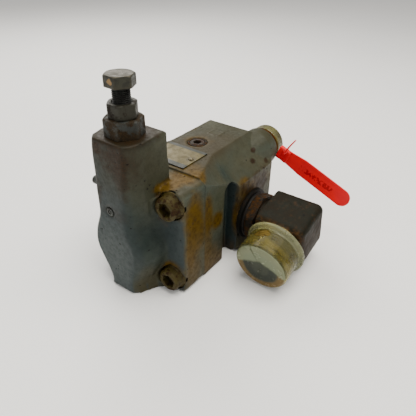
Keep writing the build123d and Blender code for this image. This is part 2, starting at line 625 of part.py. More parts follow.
to_lock = Vector(0, LOCK[0] - REAR_Y, LOCK[1] - REAR_Z).normalized()
loop_plane = Plane(origin=(TAG_X - STRAP_W / 2, REAR_Y, REAR_Z), x_dir=to_lock, z_dir=(1, 0, 0))

with BuildPart() as seal_strap:
    with BuildSketch(loop_plane):
        Circle(STRAP_R + STRAP_T)
        with Locations((STRAP_R + 1, 0)):
            Rectangle(2 * (CLEAR_R - STRAP_R - 1.35), 5)
        Circle(STRAP_R, mode=Mode.SUBTRACT)
    extrude(amount=STRAP_W)
save(seal_strap, "seal_strap")

TAIL_R = 1.1
tail_start = Vector(TAG_X - LOCK_T / 2 - TAIL_R - 0.1, LOCK[0] - 1.5, LOCK[1] + 1.5)
tail = Vector(0, -9.6, 16.2)             # the strap's cut end stands up in front of the lock

with BuildPart() as seal_tail:
    with BuildSketch(Plane(origin=tail_start, x_dir=(1, 0, 0), z_dir=tail)):
        Circle(TAIL_R)
    extrude(amount=tail.length)
    fillet(seal_tail.edges().sort_by(Axis.Z)[-1], 0.5)
save(seal_tail, "seal_tail")
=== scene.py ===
from math import cos, pi, radians, sin, sqrt

import bmesh
import bpy
import numpy as np
from mathutils import Matrix, Vector, noise


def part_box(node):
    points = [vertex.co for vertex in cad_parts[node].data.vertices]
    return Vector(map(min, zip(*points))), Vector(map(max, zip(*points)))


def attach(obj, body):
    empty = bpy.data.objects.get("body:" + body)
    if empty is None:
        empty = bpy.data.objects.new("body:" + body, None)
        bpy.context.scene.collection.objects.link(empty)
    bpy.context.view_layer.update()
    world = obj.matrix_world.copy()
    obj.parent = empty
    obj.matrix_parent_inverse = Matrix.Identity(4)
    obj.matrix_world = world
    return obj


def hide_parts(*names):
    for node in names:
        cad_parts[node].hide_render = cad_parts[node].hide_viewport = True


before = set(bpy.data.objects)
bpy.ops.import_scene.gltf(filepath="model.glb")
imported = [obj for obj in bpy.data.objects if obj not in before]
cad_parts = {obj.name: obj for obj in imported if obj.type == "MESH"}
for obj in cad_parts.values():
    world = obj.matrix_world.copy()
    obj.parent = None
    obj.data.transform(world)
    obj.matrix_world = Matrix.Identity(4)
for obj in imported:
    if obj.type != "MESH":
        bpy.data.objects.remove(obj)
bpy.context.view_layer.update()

MM = 0.001
TAU = 2 * pi

# ---------------- places read from the frame

_, head_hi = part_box("pilot_head")
bonnet_lo, bonnet_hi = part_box("adjuster_bonnet")
nut_lo, nut_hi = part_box("lock_nut")
screw_lo, screw_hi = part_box("adjusting_screw")
plug_lo, plug_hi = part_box("gauge_port_plug")
ring_lo, ring_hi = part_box("gauge_plug_seal")
plate_lo, plate_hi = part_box("nameplate")
rivets_lo, rivets_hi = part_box("nameplate_rivets")
washer_lo, washer_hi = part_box("elbow_washer")
rubber_lo, rubber_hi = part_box("elbow_o_ring")
jam_lo, jam_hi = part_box("elbow_jam_nut")
elbow_lo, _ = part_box("elbow_fitting")
rear_cap_lo, rear_cap_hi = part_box("rear_cap")
strap_lo, strap_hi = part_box("seal_strap")
tail_lo, tail_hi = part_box("seal_tail")
screws_lo, screws_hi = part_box("head_screws")

ADJ_X = (bonnet_lo.x + bonnet_hi.x) / 2
JOINT_X = head_hi.x
PORT_X = (washer_lo.x + washer_hi.x) / 2
PORT_Z = (washer_lo.z + washer_hi.z) / 2
ELBOW_HALF = 21 * MM
ELBOW_Y = elbow_lo.y + ELBOW_HALF
MID = Vector((PORT_X, ELBOW_Y, PORT_Z))
TILT = radians(11)
BRANCH = Vector((-cos(TILT), 0, -sin(TILT)))
REAR_Y = (rear_cap_lo.y + rear_cap_hi.y) / 2
REAR_Z = (rear_cap_lo.z + rear_cap_hi.z) / 2
PLUG_Y = (plug_lo.y + plug_hi.y) / 2
PLUG_X = (plug_lo.x + plug_hi.x) / 2
SLOPE = radians(22.5)     # of the security seal's flag

# ---------------- camera and light

HEADING = radians(35.29)
PITCH = radians(33.78)
ROLL = radians(0.904)
forward = Vector((cos(HEADING) * cos(PITCH), sin(HEADING) * cos(PITCH), -sin(PITCH)))
level = Vector((sin(HEADING), -cos(HEADING), 0))
above = level.cross(forward)
right = level * cos(ROLL) + above * sin(ROLL)
up = above * cos(ROLL) - level * sin(ROLL)


def linked(name, data):
    """A new object in the scene."""
    obj = bpy.data.objects.new(name, data)
    bpy.context.scene.collection.objects.link(obj)
    return obj


camera_data = bpy.data.cameras.new("camera")
camera_data.sensor_width = 36
camera_data.lens = 36.76
camera_data.clip_start = 0.01
camera = linked("camera", camera_data)
turn = Matrix((right, up, -forward)).transposed().to_4x4()
camera.matrix_world = Matrix.Translation((-0.2575, -0.192, 0.240)) @ turn
bpy.context.scene.camera = camera


def area_light(name, place, aim, size, power, tint):
    """A soft square light at a place, turned towards a point."""
    lamp = bpy.data.lights.new(name, "AREA")
    lamp.size = size
    lamp.energy = power
    lamp.color = tint
    obj = linked(name, lamp)
    obj.location = place
    obj.rotation_euler = (Vector(aim) - Vector(place)).to_track_quat("-Z", "Y").to_euler()


area_light("key", (0.02, -0.25, 0.95), (0, 0, 0.04), 0.7, 12.0, (1.0, 0.96, 0.88))
area_light("back", (0.35, 0.65, 0.75), (0, 0, 0.04), 0.7, 9.0, (1.0, 0.97, 0.91))
area_light("front", (-0.80, 0.10, 0.40), (-0.05, 0, 0.06), 0.5, 1.8, (0.98, 0.99, 1.0))

world = bpy.data.worlds.new("studio")
bpy.context.scene.world = world
world.use_nodes = True
world.node_tree.nodes["Background"].inputs["Color"].default_value = (1.0, 0.98, 0.94, 1)
world.node_tree.nodes["Background"].inputs["Strength"].default_value = 0.60

# ---------------- material helpers


def is_socket(value):
    return isinstance(value, bpy.types.NodeSocket)


class Look:
    """Builds one procedural material. Coordinates are the frame's own, in metres."""

    def __init__(self, name, rough=0.6, metal=0.0, **sockets):
        self.material = bpy.data.materials.new(name)
        self.material.use_nodes = True
        self.tree = self.material.node_tree
        self.tree.nodes.clear()
        self.shader = self.node("BsdfPrincipled", {"Roughness": rough, "Metallic": metal})
        for key, value in sockets.items():
            self.shader.inputs[key.replace("_", " ")].default_value = value
        self.node("OutputMaterial", {"Surface": self.shader.outputs[0]})
        self.place = self.node("TexCoord").outputs["Object"]
        self.normal = None

    def node(self, kind, sockets=None, **settings):
        """A new node with its settings, and what its input sockets get, by their name or number."""
        made = self.tree.nodes.new("ShaderNode" + kind)
        for key, value in settings.items():
            setattr(made, key, value)
        for key, value in (sockets or {}).items():
            self.feed(made.inputs[key], value)
        return made

    def feed(self, socket, value):
        """Links a socket to an output, or sets its value."""
        if is_socket(value):
            self.tree.links.new(value, socket)
        else:
            socket.default_value = value

    def noise(self, size, detail=4.0, rough=0.55, place=None, stretch=(1, 1, 1), seed=0.0):
        """Soft noise whose features are about this many millimetres across."""
        shift = self.node("Mapping", {"Vector": place or self.place, "Scale": stretch,
                                      "Location": (seed * 0.37, seed * 0.61, seed * 0.23)})
        return self.node("TexNoise", {"Vector": shift.outputs[0], "Scale": 1000.0 / size, "Detail": detail,
                                      "Roughness": rough}).outputs[0]

    def cells(self, size, seed=0.0):
        """Distance to scattered points this many millimetres apart."""
        shift = self.node("Mapping", {"Vector": self.place, "Location": (seed, seed * 0.7, seed * 0.4)})
        return self.node("TexVoronoi", {"Vector": shift.outputs[0], "Scale": 1000.0 / size}).outputs["Distance"]

    def math(self, operation, *values):
        return self.node("Math", dict(enumerate(values)), operation=operation).outputs[0]

    def sum(self, a, b):
        return self.math("ADD", a, b)

    def less(self, a, b):
        return self.math("SUBTRACT", a, b)

    def times(self, a, b):
        return self.math("MULTIPLY", a, b)

    def most(self, first, *others):
        for mask in others:
            first = self.math("MAXIMUM", first, mask)
        return first

    def band(self, value, low, high, out_low=0.0, out_high=1.0):
        """Smoothly maps low..high to the outputs."""
        limits = {"Value": value, "From Min": low, "From Max": high, "To Min": out_low, "To Max": out_high}
        return self.node("MapRange", limits, interpolation_type="SMOOTHSTEP").outputs["Result"]

    def mix(self, amount, a, b):
        """A colour between two others."""
        a, b = (c if is_socket(c) else (*c, 1) for c in (a, b))
        return self.node("Mix", {0: amount, 6: a, 7: b}, data_type="RGBA").outputs[2]

    def tinted(self, colour, mask, amount, tint):
        """A colour with a share of a tint where the mask is high."""
        return self.mix(self.times(mask, amount), colour, tint)

    def axis(self, letter):
        """One coordinate in metres."""
        return self.node("SeparateXYZ", {0: self.place}).outputs[letter]

    def facing(self, letter):
        """How far the surface's normal points along an axis."""
        return self.node("SeparateXYZ", {0: self.node("NewGeometry").outputs["Normal"]}).outputs[letter]

    def edge(self, low=0.52, high=0.62):
        """High on convex edges."""
        return self.band(self.node("NewGeometry").outputs["Pointiness"], low, high)

    def hollow(self, low=0.49, high=0.40):
        """High in concave corners."""
        return self.edge(low, high)

    def vector(self, operation, a, b=None):
        """A node of vector maths."""
        return self.node("VectorMath", {0: a} if b is None else {0: a, 1: b}, operation=operation)

    def spot(self, centre, radii, broken=0.6, grain=6.0, seed=0.0, soft=0.45):
        """A stain round a point, in millimetres, with a broken edge."""
        away = self.vector("SUBTRACT", self.place, [c * MM for c in centre]).outputs[0]
        scaled = self.vector("DIVIDE", away, [r * MM for r in radii]).outputs[0]
        length = self.vector("LENGTH", scaled).outputs["Value"]
        ragged = self.times(self.less(self.noise(grain, 5, 0.6, seed=seed), 0.5), broken * 2.5)
        return self.band(self.sum(length, ragged), 1.0 + soft, 1.0 - soft)

    def beside(self, origin, axis):
        """Distance along an axis and away from it, in metres."""
        away = self.vector("SUBTRACT", self.place, origin).outputs[0]
        across = self.vector("CROSS_PRODUCT", away, axis).outputs[0]
        return self.vector("DOT_PRODUCT", away, axis).outputs["Value"], self.vector("LENGTH", across).outputs["Value"]

    def turned(self, origin, axis):
        """Coordinates whose first one runs along an axis."""
        away = self.vector("SUBTRACT", self.place, origin).outputs[0]
        turn = axis.rotation_difference(Vector((1, 0, 0))).to_euler()
        return self.node("VectorRotate", {"Vector": away, "Rotation": turn}, rotation_type="EULER_XYZ").outputs[0]

    def raise_by(self, height, depth):
        """Adds a relief this many millimetres high."""
        made = self.node("Bump", {"Distance": depth * MM, "Height": height})
        if self.normal is not None:
            self.feed(made.inputs["Normal"], self.normal)
        self.normal = made.outputs[0]

    def done(self, colour, rough=None):
        """The finished material."""
        self.feed(self.shader.inputs["Base Color"], colour)
        if rough is not None:
            self.feed(self.shader.inputs["Roughness"], rough)
        if self.normal is not None:
            self.feed(self.shader.inputs["Normal"], self.normal)
        return self.material


# linear colours
PAINT = (0.045, 0.055, 0.042)
PAINT_PALE = (0.072, 0.074, 0.048)
GROOVE_SHADE_TEAL = (0.009, 0.025, 0.026)
OCHRE = (0.080, 0.044, 0.0008)
OCHRE_DARK = (0.030, 0.014, 0.0006)
RUST = (0.026, 0.012, 0.003)
DIRT_AND_SHADE = (0.007, 0.006, 0.003)
DUST = (0.026, 0.022, 0.007)
FRONT_SHADE_BLUE_GREY = (0.025, 0.034, 0.034)


def painted(name, stains, dark_stains, tint_spots=()):
    """Worn paint on a casting: patchy, pitted and stained, with a dark line where head and body meet."""
    look = Look(name, Specular_IOR_Level=0.14)
    broad = look.noise(38, 3, seed=1)
    fine = look.noise(3.2, 6, 0.65, seed=2)
    grit = look.noise(0.9, 4, 0.7, seed=3)
    colour = look.mix(look.band(broad, 0.35, 0.68), PAINT, PAINT_PALE)
    # painted shade: faces that point to the front (-X) turn a darker blue-grey
    colour = look.mix(look.band(look.facing("X"), -0.45, -0.95), colour, FRONT_SHADE_BLUE_GREY)
    top = look.band(look.facing("Z"), 0.3, 0.9)
    dusty = look.times(top, look.band(look.noise(22, 5, seed=4), 0.25, 0.70, 0.45, 1.0))
    colour = look.tinted(colour, dusty, 0.85, DUST)
    # tinted spots, among them painted shade and a painted highlight
    for centre, radii, tint, amount in tint_spots:
        mask = look.times(look.spot(centre, radii, 0.35, 12, seed=radii[0], soft=0.8), amount)
        colour = look.mix(mask, colour, tint)
    low = look.sum(look.axis("Z"), look.times(look.noise(16, 4, seed=15), 30 * MM))
    away_from_front = look.band(look.facing("X"), -0.9, -0.5)
    colour = look.tinted(colour, look.band(low, 52 * MM, 22 * MM, 0.0, 0.75), away_from_front, (0.036, 0.029, 0.010))
    colour = look.mix(look.band(fine, 0.45, 0.80, 0.0, 0.25), colour, DIRT_AND_SHADE)
    for k, (centre, radii, amount) in enumerate(stains):
        mask = look.times(look.spot(centre, radii, 0.50, 13, seed=5 + k, soft=0.5), amount)
        colour = look.mix(mask, colour, look.mix(look.band(fine, 0.38, 0.80), OCHRE, OCHRE_DARK))
    for k, (centre, radii, amount) in enumerate(dark_stains):
        mask = look.times(look.spot(centre, radii, 0.9, 6, seed=21 + k), amount)
        colour = look.mix(mask, colour, look.mix(look.band(grit, 0.35, 0.7), RUST, DIRT_AND_SHADE))
    pits = look.times(look.band(look.cells(5.5, 0.4), 0.17, 0.08), look.band(look.noise(17, 2, seed=9), 0.47, 0.58))
    specks = look.band(look.noise(1.4, 2, 0.5, seed=11), 0.70, 0.76)
    marks = look.most(pits, specks)
    from_joint = look.math("ABSOLUTE", look.less(look.axis("X"), JOINT_X))
    by_height = look.band(look.axis("Z"), 58 * MM, 70 * MM, 0.25, 1.0)
    joint = look.times(look.band(from_joint, 0.42 * MM, 0.18 * MM), by_height)
    joint = look.times(joint, look.band(look.facing("Z"), 0.6, 0.2))
    marks = look.most(marks, look.times(joint, look.band(fine, 0.25, 0.6, 0.5, 1.0)))
    colour = look.tinted(colour, marks, 0.8, (0.004, 0.003, 0.002))
    # painted shade: darker in concave corners
    colour = look.tinted(colour, look.hollow(), 0.45, DIRT_AND_SHADE)
    colour = look.tinted(colour, look.edge(0.535, 0.60), 0.35, (0.060, 0.058, 0.042))
    look.raise_by(look.noise(7, 4, 0.5, seed=12), 0.20)
    look.raise_by(look.noise(1.5, 3, 0.6, seed=13), 0.11)
    look.raise_by(look.less(1.0, marks), 0.25)
    rough = look.sum(look.band(fine, 0.3, 0.7, 0.40, 0.62), look.times(marks, 0.2))
    return look.done(colour, rough)


body_look = painted(
    "body_paint",
    stains=[
        ((-31, -41, 47), (7, 4, 8), 1.0), ((-43, -41, 56), (6, 4, 16), 0.9), ((-44, -41, 70), (4, 4, 5), 0.6),
        ((-44, -36, 90), (7, 12, 4), 0.9), ((0, 2, 90.5), (9.5, 9.5, 1.5), 0.75), ((-40, -20, 90.5), (8, 14, 2), 0.6),
        ((-45, -41, 30), (7, 3, 24), 0.7), ((13.5, -45, 55), (22, 5, 9), 0.9), ((-8, -45, 38), (4.5, 5, 16), 1.0),
        ((-38, -41, 12), (9, 3, 14), 0.6), ((-25, -41, 4), (22, 3, 8), 0.7), ((1, -45, 66), (7, 4, 9), 0.8),
        ((-22, 41, 62), (7, 4, 16), 0.8), ((28, 41, 26), (12, 4, 15), 0.7), ((47.5, 12, 18), (4, 18, 11), 0.7),
        ((47.5, -49, 52), (4, 14, 6), 0.6), ((20, 26, 86), (9, 7, 6), 0.6),
    ],
    dark_stains=[
        ((33.5, -32.2, 79.8), (2.2, 2.2, 2.0), 1.0), ((25.2, -37.6, 74.4), (3.0, 2.5, 2.4), 1.0),
        ((40.7, -41.8, 70.2), (2.2, 2, 2), 0.8), ((13.5, -45, 38), (28, 3, 24), 0.85),
        ((31, -45, 56), (9, 4, 10), 0.8), ((24, -41, 0), (60, 4, 12), 0.5), ((-8, -33, -3), (8, 8, 16), 0.6),
        ((47.5, 20, 60), (3, 9, 12), 0.7), ((5, 41, 40), (9, 3, 9), 0.6), ((-30, 41, 10), (16, 3, 9), 0.7),
    ],
    tint_spots=[
        # the first spot is painted shade in the groove, dark teal
        ((-14, -33, 30), (7.5, 9, 46), GROOVE_SHADE_TEAL, 0.95), ((-10, -10, 90.5), (34, 34, 4), (0.036, 0.026, 0.012), 0.65),
        ((-25, -41, 12), (14, 4, 18), (0.014, 0.013, 0.006), 0.5),
        ((-28, -41, 64), (12, 4, 16), (0.040, 0.044, 0.024), 0.6),
    ],
)
head_look = painted(
    "head_paint",
    stains=[
        ((-60, -41, 66), (10, 3, 18), 1.0), ((-65, -41, 42), (6, 3, 24), 0.95), ((-55, -41, 48), (9, 3, 18), 0.9),
        ((-62, -41, 18), (8, 3, 20), 0.6), ((-52, -24, 88.5), (8, 12, 2), 0.95), ((-66, -23, 88.5), (11, 7, 3), 1.0),
        ((-73, -19, 88), (4, 5, 3), 0.8), ((-73.5, -22, 77), (3, 12, 13), 0.75), ((-73.5, -38, 77), (3, 5, 8), 0.5),
        ((-73.5, -14, 30), (4, 5, 7), 0.5), ((-73.5, -15, 14), (2.5, 7, 5), 0.9),
        ((-73.5, -27, 22), (3, 12, 6), 0.85), ((-73.5, -9, 8), (3, 7, 5), 0.65), ((-69, -17, 86), (5, 4, 4), 0.7),
        ((-60, 41, 66), (8, 3, 15), 0.85), ((-73.5, 26, 76), (3, 12, 11), 0.7), ((-66, 25, 88.5), (10, 9, 3), 0.7),
    ],
    dark_stains=[
        ((-98, 11, 120), (3, 5, 6), 1.0), ((-98, -6, 117), (3, 12, 11), 0.8), ((-80, 0, 126.5), (18, 19, 3), 0.8),
        ((-97, -10, 105), (3, 6, 16), 0.7), ((-73.5, -21, 72), (4, 5, 11), 0.8), ((-92, -8, 114), (7, 14, 14), 0.5),
        ((-73.5, -30, 3), (6, 18, 6), 0.35), ((-98, 15, 86), (3, 5, 10), 0.5), ((-98, 0, 72), (3, 14, 5), 0.3),
    ],
    tint_spots=[
        # painted shade on the tower's right side, very dark teal
        ((-76, -14, 50), (26, 14, 32), (0.004, 0.010, 0.010), 0.95),
        ((-70, -19, 104), (22, 6, 24), (0.040, 0.042, 0.026), 0.8),
        ((-88, -6, 110), (18, 24, 24), (0.024, 0.021, 0.009), 0.8),
        ((-80, 0, 127), (24, 24, 4), (0.008, 0.006, 0.002), 0.95),
        ((-73, 30, 45), (20, 16, 40), (0.014, 0.020, 0.019), 0.5),
        # painted highlight on the lower front of the tower
        ((-98, 4, 28), (8, 20, 30), (0.050, 0.061, 0.058), 0.6),
    ],
)


def steel(name, clean, rust, amount, size=5.0, rough=0.5, metal=0.55, seed=0.0, dents=0.10, gloss=0.25):
    """Dull plated or phosphated steel, rusting from its hollows outwards."""
    look = Look(name, rough, metal, Specular_IOR_Level=gloss)
    patch = look.band(look.noise(size, 6, 0.65, seed=seed), 0.62 - 0.35 * amount, 0.78 - 0.35 * amount)
    fine = look.noise(0.8, 4, 0.7, seed=seed + 3)
    colour = look.mix(look.band(look.noise(size * 2.5, 3, seed=seed + 1), 0.3, 0.7), clean, [c * 0.62 for c in clean])
    colour = look.mix(patch, colour, look.mix(look.band(fine, 0.35, 0.65), rust, [c * 0.35 for c in rust]))
    colour = look.tinted(colour, look.hollow(), 0.8, [c * 0.3 for c in rust])
    colour = look.tinted(colour, look.edge(), 0.40, [min(1, c * 1.9 + 0.01) for c in clean])
    look.raise_by(fine, dents)
    look.raise_by(look.noise(2.5, 4, seed=seed + 5), dents * 1.6)
    return look.done(colour, look.band(patch, 0, 1, rough, min(1, rough + 0.3)))


bonnet_look = steel("bonnet_steel", (0.030, 0.033, 0.029), (0.026, 0.013, 0.0008), 0.66, 7, 0.52, 0.10, 4.0, 0.22)
nut_look = steel("nut_steel", (0.021, 0.020, 0.013), (0.013, 0.007, 0.002), 0.38, 6, 0.48, 0.20, 8.0)
screw_look = steel("screw_steel", (0.050, 0.038, 0.008), (0.026, 0.010, 0.001), 0.46, 4, 0.52, 0.05, 12.0, 0.10, 0.16)
ring_look = steel("ring_steel", (0.009, 0.006, 0.002), (0.062, 0.024, 0.003), 0.55, 4, 0.58, 0.0, 20.0, 0.25, 0.15)
black_ring_look = steel("black_ring", (0.003, 0.003, 0.002), (0.014, 0.006, 0.0015), 0.30, 4, 0.60, 0.0, 22.0, 0.12,
                        0.10)
gold_look = steel("zinc_thread", (0.30, 0.21, 0.045), (0.10, 0.055, 0.010), 0.30, 5, 0.40, 0.50, 26.0, 0.10)
ground_look = steel("ground_steel", (0.42, 0.43, 0.44), (0.20, 0.18, 0.15), 0.05, 6, 0.25, 1.0, 24.0, 0.01)
wire_look = steel("spring_wire", (0.16, 0.165, 0.17), (0.08, 0.06, 0.04), 0.12, 4, 0.32, 0.9, 28.0, 0.02)
plug_look = steel("plug_steel", (0.016, 0.010, 0.004), (0.040, 0.014, 0.003), 0.50, 4, 0.48, 0.20, 32.0)
ball_look = steel("ball_steel", (0.036, 0.040, 0.036), (0.020, 0.012, 0.004), 0.35, 3, 0.48, 0.30, 36.0)
rivet_look = steel("rivet_steel", (0.16, 0.14, 0.085), (0.050, 0.026, 0.006), 0.45, 1.6, 0.45, 0.4, 44.0, 0.04)
brass_look = steel("brass", (0.55, 0.36, 0.12), (0.20, 0.12, 0.04), 0.10, 5, 0.30, 1.0, 40.0, 0.02)


def forging():
    """Olive black phosphate, browner low down, scuffed along its edges and rusting beside the cap."""
    look = Look("elbow_steel", 0.6, Specular_IOR_Level=0.10)
    fine = look.noise(1.6, 5, 0.65, seed=56)
    broad = look.noise(11, 5, 0.6, seed=57)
    colour = look.mix(look.band(broad, 0.32, 0.66), (0.0060, 0.0066, 0.0030), (0.0105, 0.0080, 0.0038))
    low = look.less(look.axis("Z"), look.times(broad, 14 * MM))
    colour = look.mix(look.band(low, 42 * MM, 26 * MM, 0.0, 0.85), colour, (0.019, 0.0115, 0.0065))
    colour = look.mix(look.band(look.noise(5, 6, 0.7, seed=58), 0.52, 0.72, 0.0, 0.7), colour,
                      (0.034, 0.0165, 0.0055))
    along, away = look.beside(MID, BRANCH)
    near = look.times(look.band(along, 15 * MM, 20 * MM), look.band(look.noise(3, 5, 0.7, seed=59), 0.38, 0.60))
    colour = look.tinted(colour, near, 0.75, (0.070, 0.030, 0.006))
    for centre, radii in (((0, -68, 52.5), (1.3, 1.6, 2)), ((-4, -78, 52.5), (2.0, 1.2, 2)),
                          ((9, -95, 52.5), (1.5, 1.0, 2))):
        colour = look.mix(look.spot(centre, radii, 0.5, 1.5, seed=60, soft=0.3), colour, (0.002, 0.002, 0.0015))
    scuff = look.times(look.edge(0.515, 0.56), look.band(fine, 0.30, 0.62))
    colour = look.tinted(colour, scuff, 0.7, (0.050, 0.045, 0.028))
    colour = look.mix(look.band(fine, 0.56, 0.80, 0.0, 0.6), colour, (0.030, 0.028, 0.018))
    look.raise_by(look.noise(6, 4, 0.6, seed=64), 0.35)
    look.raise_by(fine, 0.12)
    return look.done(colour, look.band(broad, 0.3, 0.7, 0.50, 0.68))


elbow_look = forging()


def adjuster_head():
    """Zinc plated, pale on its top, with a bare tan patch on one corner."""
    look = Look("adjuster_head", 0.46, 0.15, Specular_IOR_Level=0.3)
    patch = look.noise(3.5, 5, 0.6, seed=51)
    colour = look.mix(look.band(patch, 0.35, 0.7), (0.024, 0.024, 0.015), (0.011, 0.011, 0.007))
    top = look.band(look.facing("Z"), 0.5, 0.95)
    colour = look.tinted(colour, top, look.band(patch, 0.3, 0.6, 0.95, 0.55), (0.044, 0.036, 0.015))
    chip = look.spot((-89.0, -0.6, 162.0), (2.0, 2.5, 1.7), 0.6, 2, seed=52, soft=0.2)
    colour = look.mix(chip, colour, (0.20, 0.115, 0.035))
    colour = look.tinted(colour, look.edge(), 0.40, (0.070, 0.056, 0.028))
    thread = look.band(look.axis("Z"), screw_hi.z - 7.2 * MM, screw_hi.z - 8.4 * MM)
    dull = look.mix(look.band(patch, 0.4, 0.6), (0.012, 0.013, 0.011), (0.005, 0.004, 0.003))
    colour = look.mix(thread, colour, dull)
    look.raise_by(look.noise(0.9, 4, 0.7, seed=53), 0.12)
    look.raise_by(look.noise(3, 3, seed=54), 0.2)
    return look.done(colour, look.band(patch, 0.3, 0.7, 0.35, 0.6))


def rubber(name):
    look = Look(name, 0.6, Specular_IOR_Level=0.2)
    colour = look.mix(look.band(look.noise(2, 4, seed=61), 0.4, 0.7), (0.004, 0.004, 0.004), (0.010, 0.007, 0.004))
    look.raise_by(look.noise(0.7, 3, seed=62), 0.05)
    return look.done(colour, look.band(look.noise(3, 3, seed=63), 0.3, 0.7, 0.5, 0.75))


def thread_cap_plastic():
    """Thin yellowed polythene: clear enough to show the thread, frosted at its lip, with a painted highlight over the
    upper part of its end.
    """
    look = Look("cap_plastic", 0.28, IOR=1.18, Specular_IOR_Level=0.45)
    along, away = look.beside(MID, BRANCH)
    cloud = look.noise(9, 5, 0.6, seed=70)
    colour = look.mix(look.band(cloud, 0.35, 0.68), (0.54, 0.50, 0.19), (0.37, 0.32, 0.075))
    streak = look.band(look.noise(2.2, 3, 0.6, seed=73, stretch=(1.0, 0.12, 0.12), place=look.turned(MID, BRANCH)),
                       0.50, 0.66)
    colour = look.tinted(colour, streak, 0.60, (0.13, 0.115, 0.030))
    right = look.sum(look.axis("Y"), look.times(cloud, 8 * MM))
    grey = look.times(look.band(right, -72 * MM, -86 * MM), look.band(along, 40 * MM, 34 * MM))
    colour = look.tinted(colour, grey, 0.55, (0.27, 0.29, 0.22))
    lip = look.band(along, 29.5 * MM, 28.0 * MM)
    colour = look.tinted(colour, lip, 0.50, (0.28, 0.30, 0.20))
    end = look.band(along, 47.9 * MM, 48.6 * MM)
    soft = look.sum(away, look.times(look.noise(7, 3, seed=74), 2.4 * MM))
    face = look.mix(look.band(soft, 15.2 * MM, 17.4 * MM), (0.050, 0.056, 0.040), (0.150, 0.100, 0.036))
    face = look.mix(look.band(away, 20.3 * MM, 21.6 * MM), face, (0.22, 0.20, 0.12))
    ring = look.times(look.band(soft, 8.0 * MM, 10.2 * MM), look.band(soft, 16.4 * MM, 14.6 * MM))
    face = look.tinted(face, ring, 0.80, (0.030, 0.035, 0.028))
    colour = look.mix(end, colour, face)
    bow = look.times(look.math("ABSOLUTE", look.sum(look.axis("Y"), -ELBOW_Y)), 0.42)
    # painted highlight: a pale crescent on the upper part of the cap's rounded end
    highlight_height = look.sum(look.sum(look.axis("Z"), bow), look.times(cloud, 5 * MM))
    highlight_crescent = look.times(look.band(along, 45.5 * MM, 48.4 * MM),
                          look.band(highlight_height, PORT_Z - 1.5 * MM, PORT_Z + 1.5 * MM))
    colour = look.tinted(colour, highlight_crescent, 0.85, (0.23, 0.26, 0.16))
    scuffs = look.band(look.noise(1.2, 5, 0.7, seed=71, stretch=(0.3, 1, 1)), 0.60, 0.72)
    colour = look.tinted(colour, scuffs, 0.30, (0.52, 0.54, 0.36))
    look.raise_by(look.noise(4, 4, seed=72), 0.12)
    clear = look.less(look.less(0.88, look.times(lip, 0.28)), look.times(end, 0.66))
    look.feed(look.shader.inputs["Transmission Weight"], clear)
    return look.done(colour, look.band(cloud, 0.3, 0.7, 0.16, 0.30))


def yellow_plastic():
    """Yellow-green polythene, scuffed, with painted shade in its hollows."""
    look = Look("rear_cap_plastic", 0.36, Transmission_Weight=0.15, IOR=1.45, Subsurface_Weight=0.2)
    look.shader.inputs["Subsurface Radius"].default_value = (0.003, 0.003, 0.0012)
    look.shader.inputs["Subsurface Scale"].default_value = 1.0
    cloud = look.noise(9, 5, 0.6, seed=76)
    colour = look.mix(look.band(cloud, 0.35, 0.68), (0.110, 0.102, 0.020), (0.048, 0.040, 0.006))
    # painted shade in the hollows
    colour = look.tinted(colour, look.hollow(0.49, 0.42), 0.6, (0.045, 0.036, 0.010))
    scuffs = look.band(look.noise(1.2, 5, 0.7, seed=77, stretch=(0.3, 1, 1)), 0.60, 0.72)
    colour = look.tinted(colour, scuffs, 0.4, (0.24, 0.24, 0.12))
    look.raise_by(look.noise(4, 4, seed=78), 0.15)
    look.raise_by(scuffs, 0.04)
    return look.done(colour, look.band(cloud, 0.3, 0.7, 0.26, 0.45))


cap_look = thread_cap_plastic()
rear_cap_look = yellow_plastic()


def red_plastic():
    """Translucent red moulding with small generic marks down the flag."""
    look = Look("seal_plastic", 0.38, Transmission_Weight=0.05, Subsurface_Weight=0.12, IOR=1.46,
                Specular_IOR_Level=0.25)
    look.shader.inputs["Subsurface Radius"].default_value = (0.006, 0.0012, 0.001)
    look.shader.inputs["Subsurface Scale"].default_value = 1.0
    cloud = look.noise(14, 3, seed=81)
    colour = look.mix(look.band(cloud, 0.3, 0.7), (0.80, 0.002, 0.010), (0.66, 0.006, 0.012))
    along = look.sum(look.times(look.axis("Y"), -cos(SLOPE)), look.times(look.axis("Z"), -sin(SLOPE)))
    across = look.sum(look.times(look.axis("Y"), sin(SLOPE)), look.times(look.axis("Z"), -cos(SLOPE)))
    start = 49.2 * cos(SLOPE) - 70.4 * sin(SLOPE)
    middle = -49.2 * sin(SLOPE) - 70.4 * cos(SLOPE)
    inside = look.times(look.band(along, (start + 18) * MM, (start + 19) * MM),
                        look.band(along, (start + 53) * MM, (start + 52) * MM))
    line = look.times(look.band(across, (middle - 2.6) * MM, (middle - 2.2) * MM),
                      look.band(across, (middle + 2.6) * MM, (middle + 2.2) * MM))
    block = look.band(look.noise(2.6, 2, 0.5, seed=83, stretch=(1, 1.2, 0.8)), 0.44, 0.56)
    marks = look.times(look.times(inside, line), block)
    colour = look.tinted(colour, marks, 0.62, (0.110, 0.003, 0.003))
    look.raise_by(look.noise(6, 2, seed=84), 0.15)
    look.raise_by(look.noise(0.8, 3, seed=85), 0.02)
    return look.done(colour, look.band(cloud, 0.3, 0.7, 0.28, 0.42))


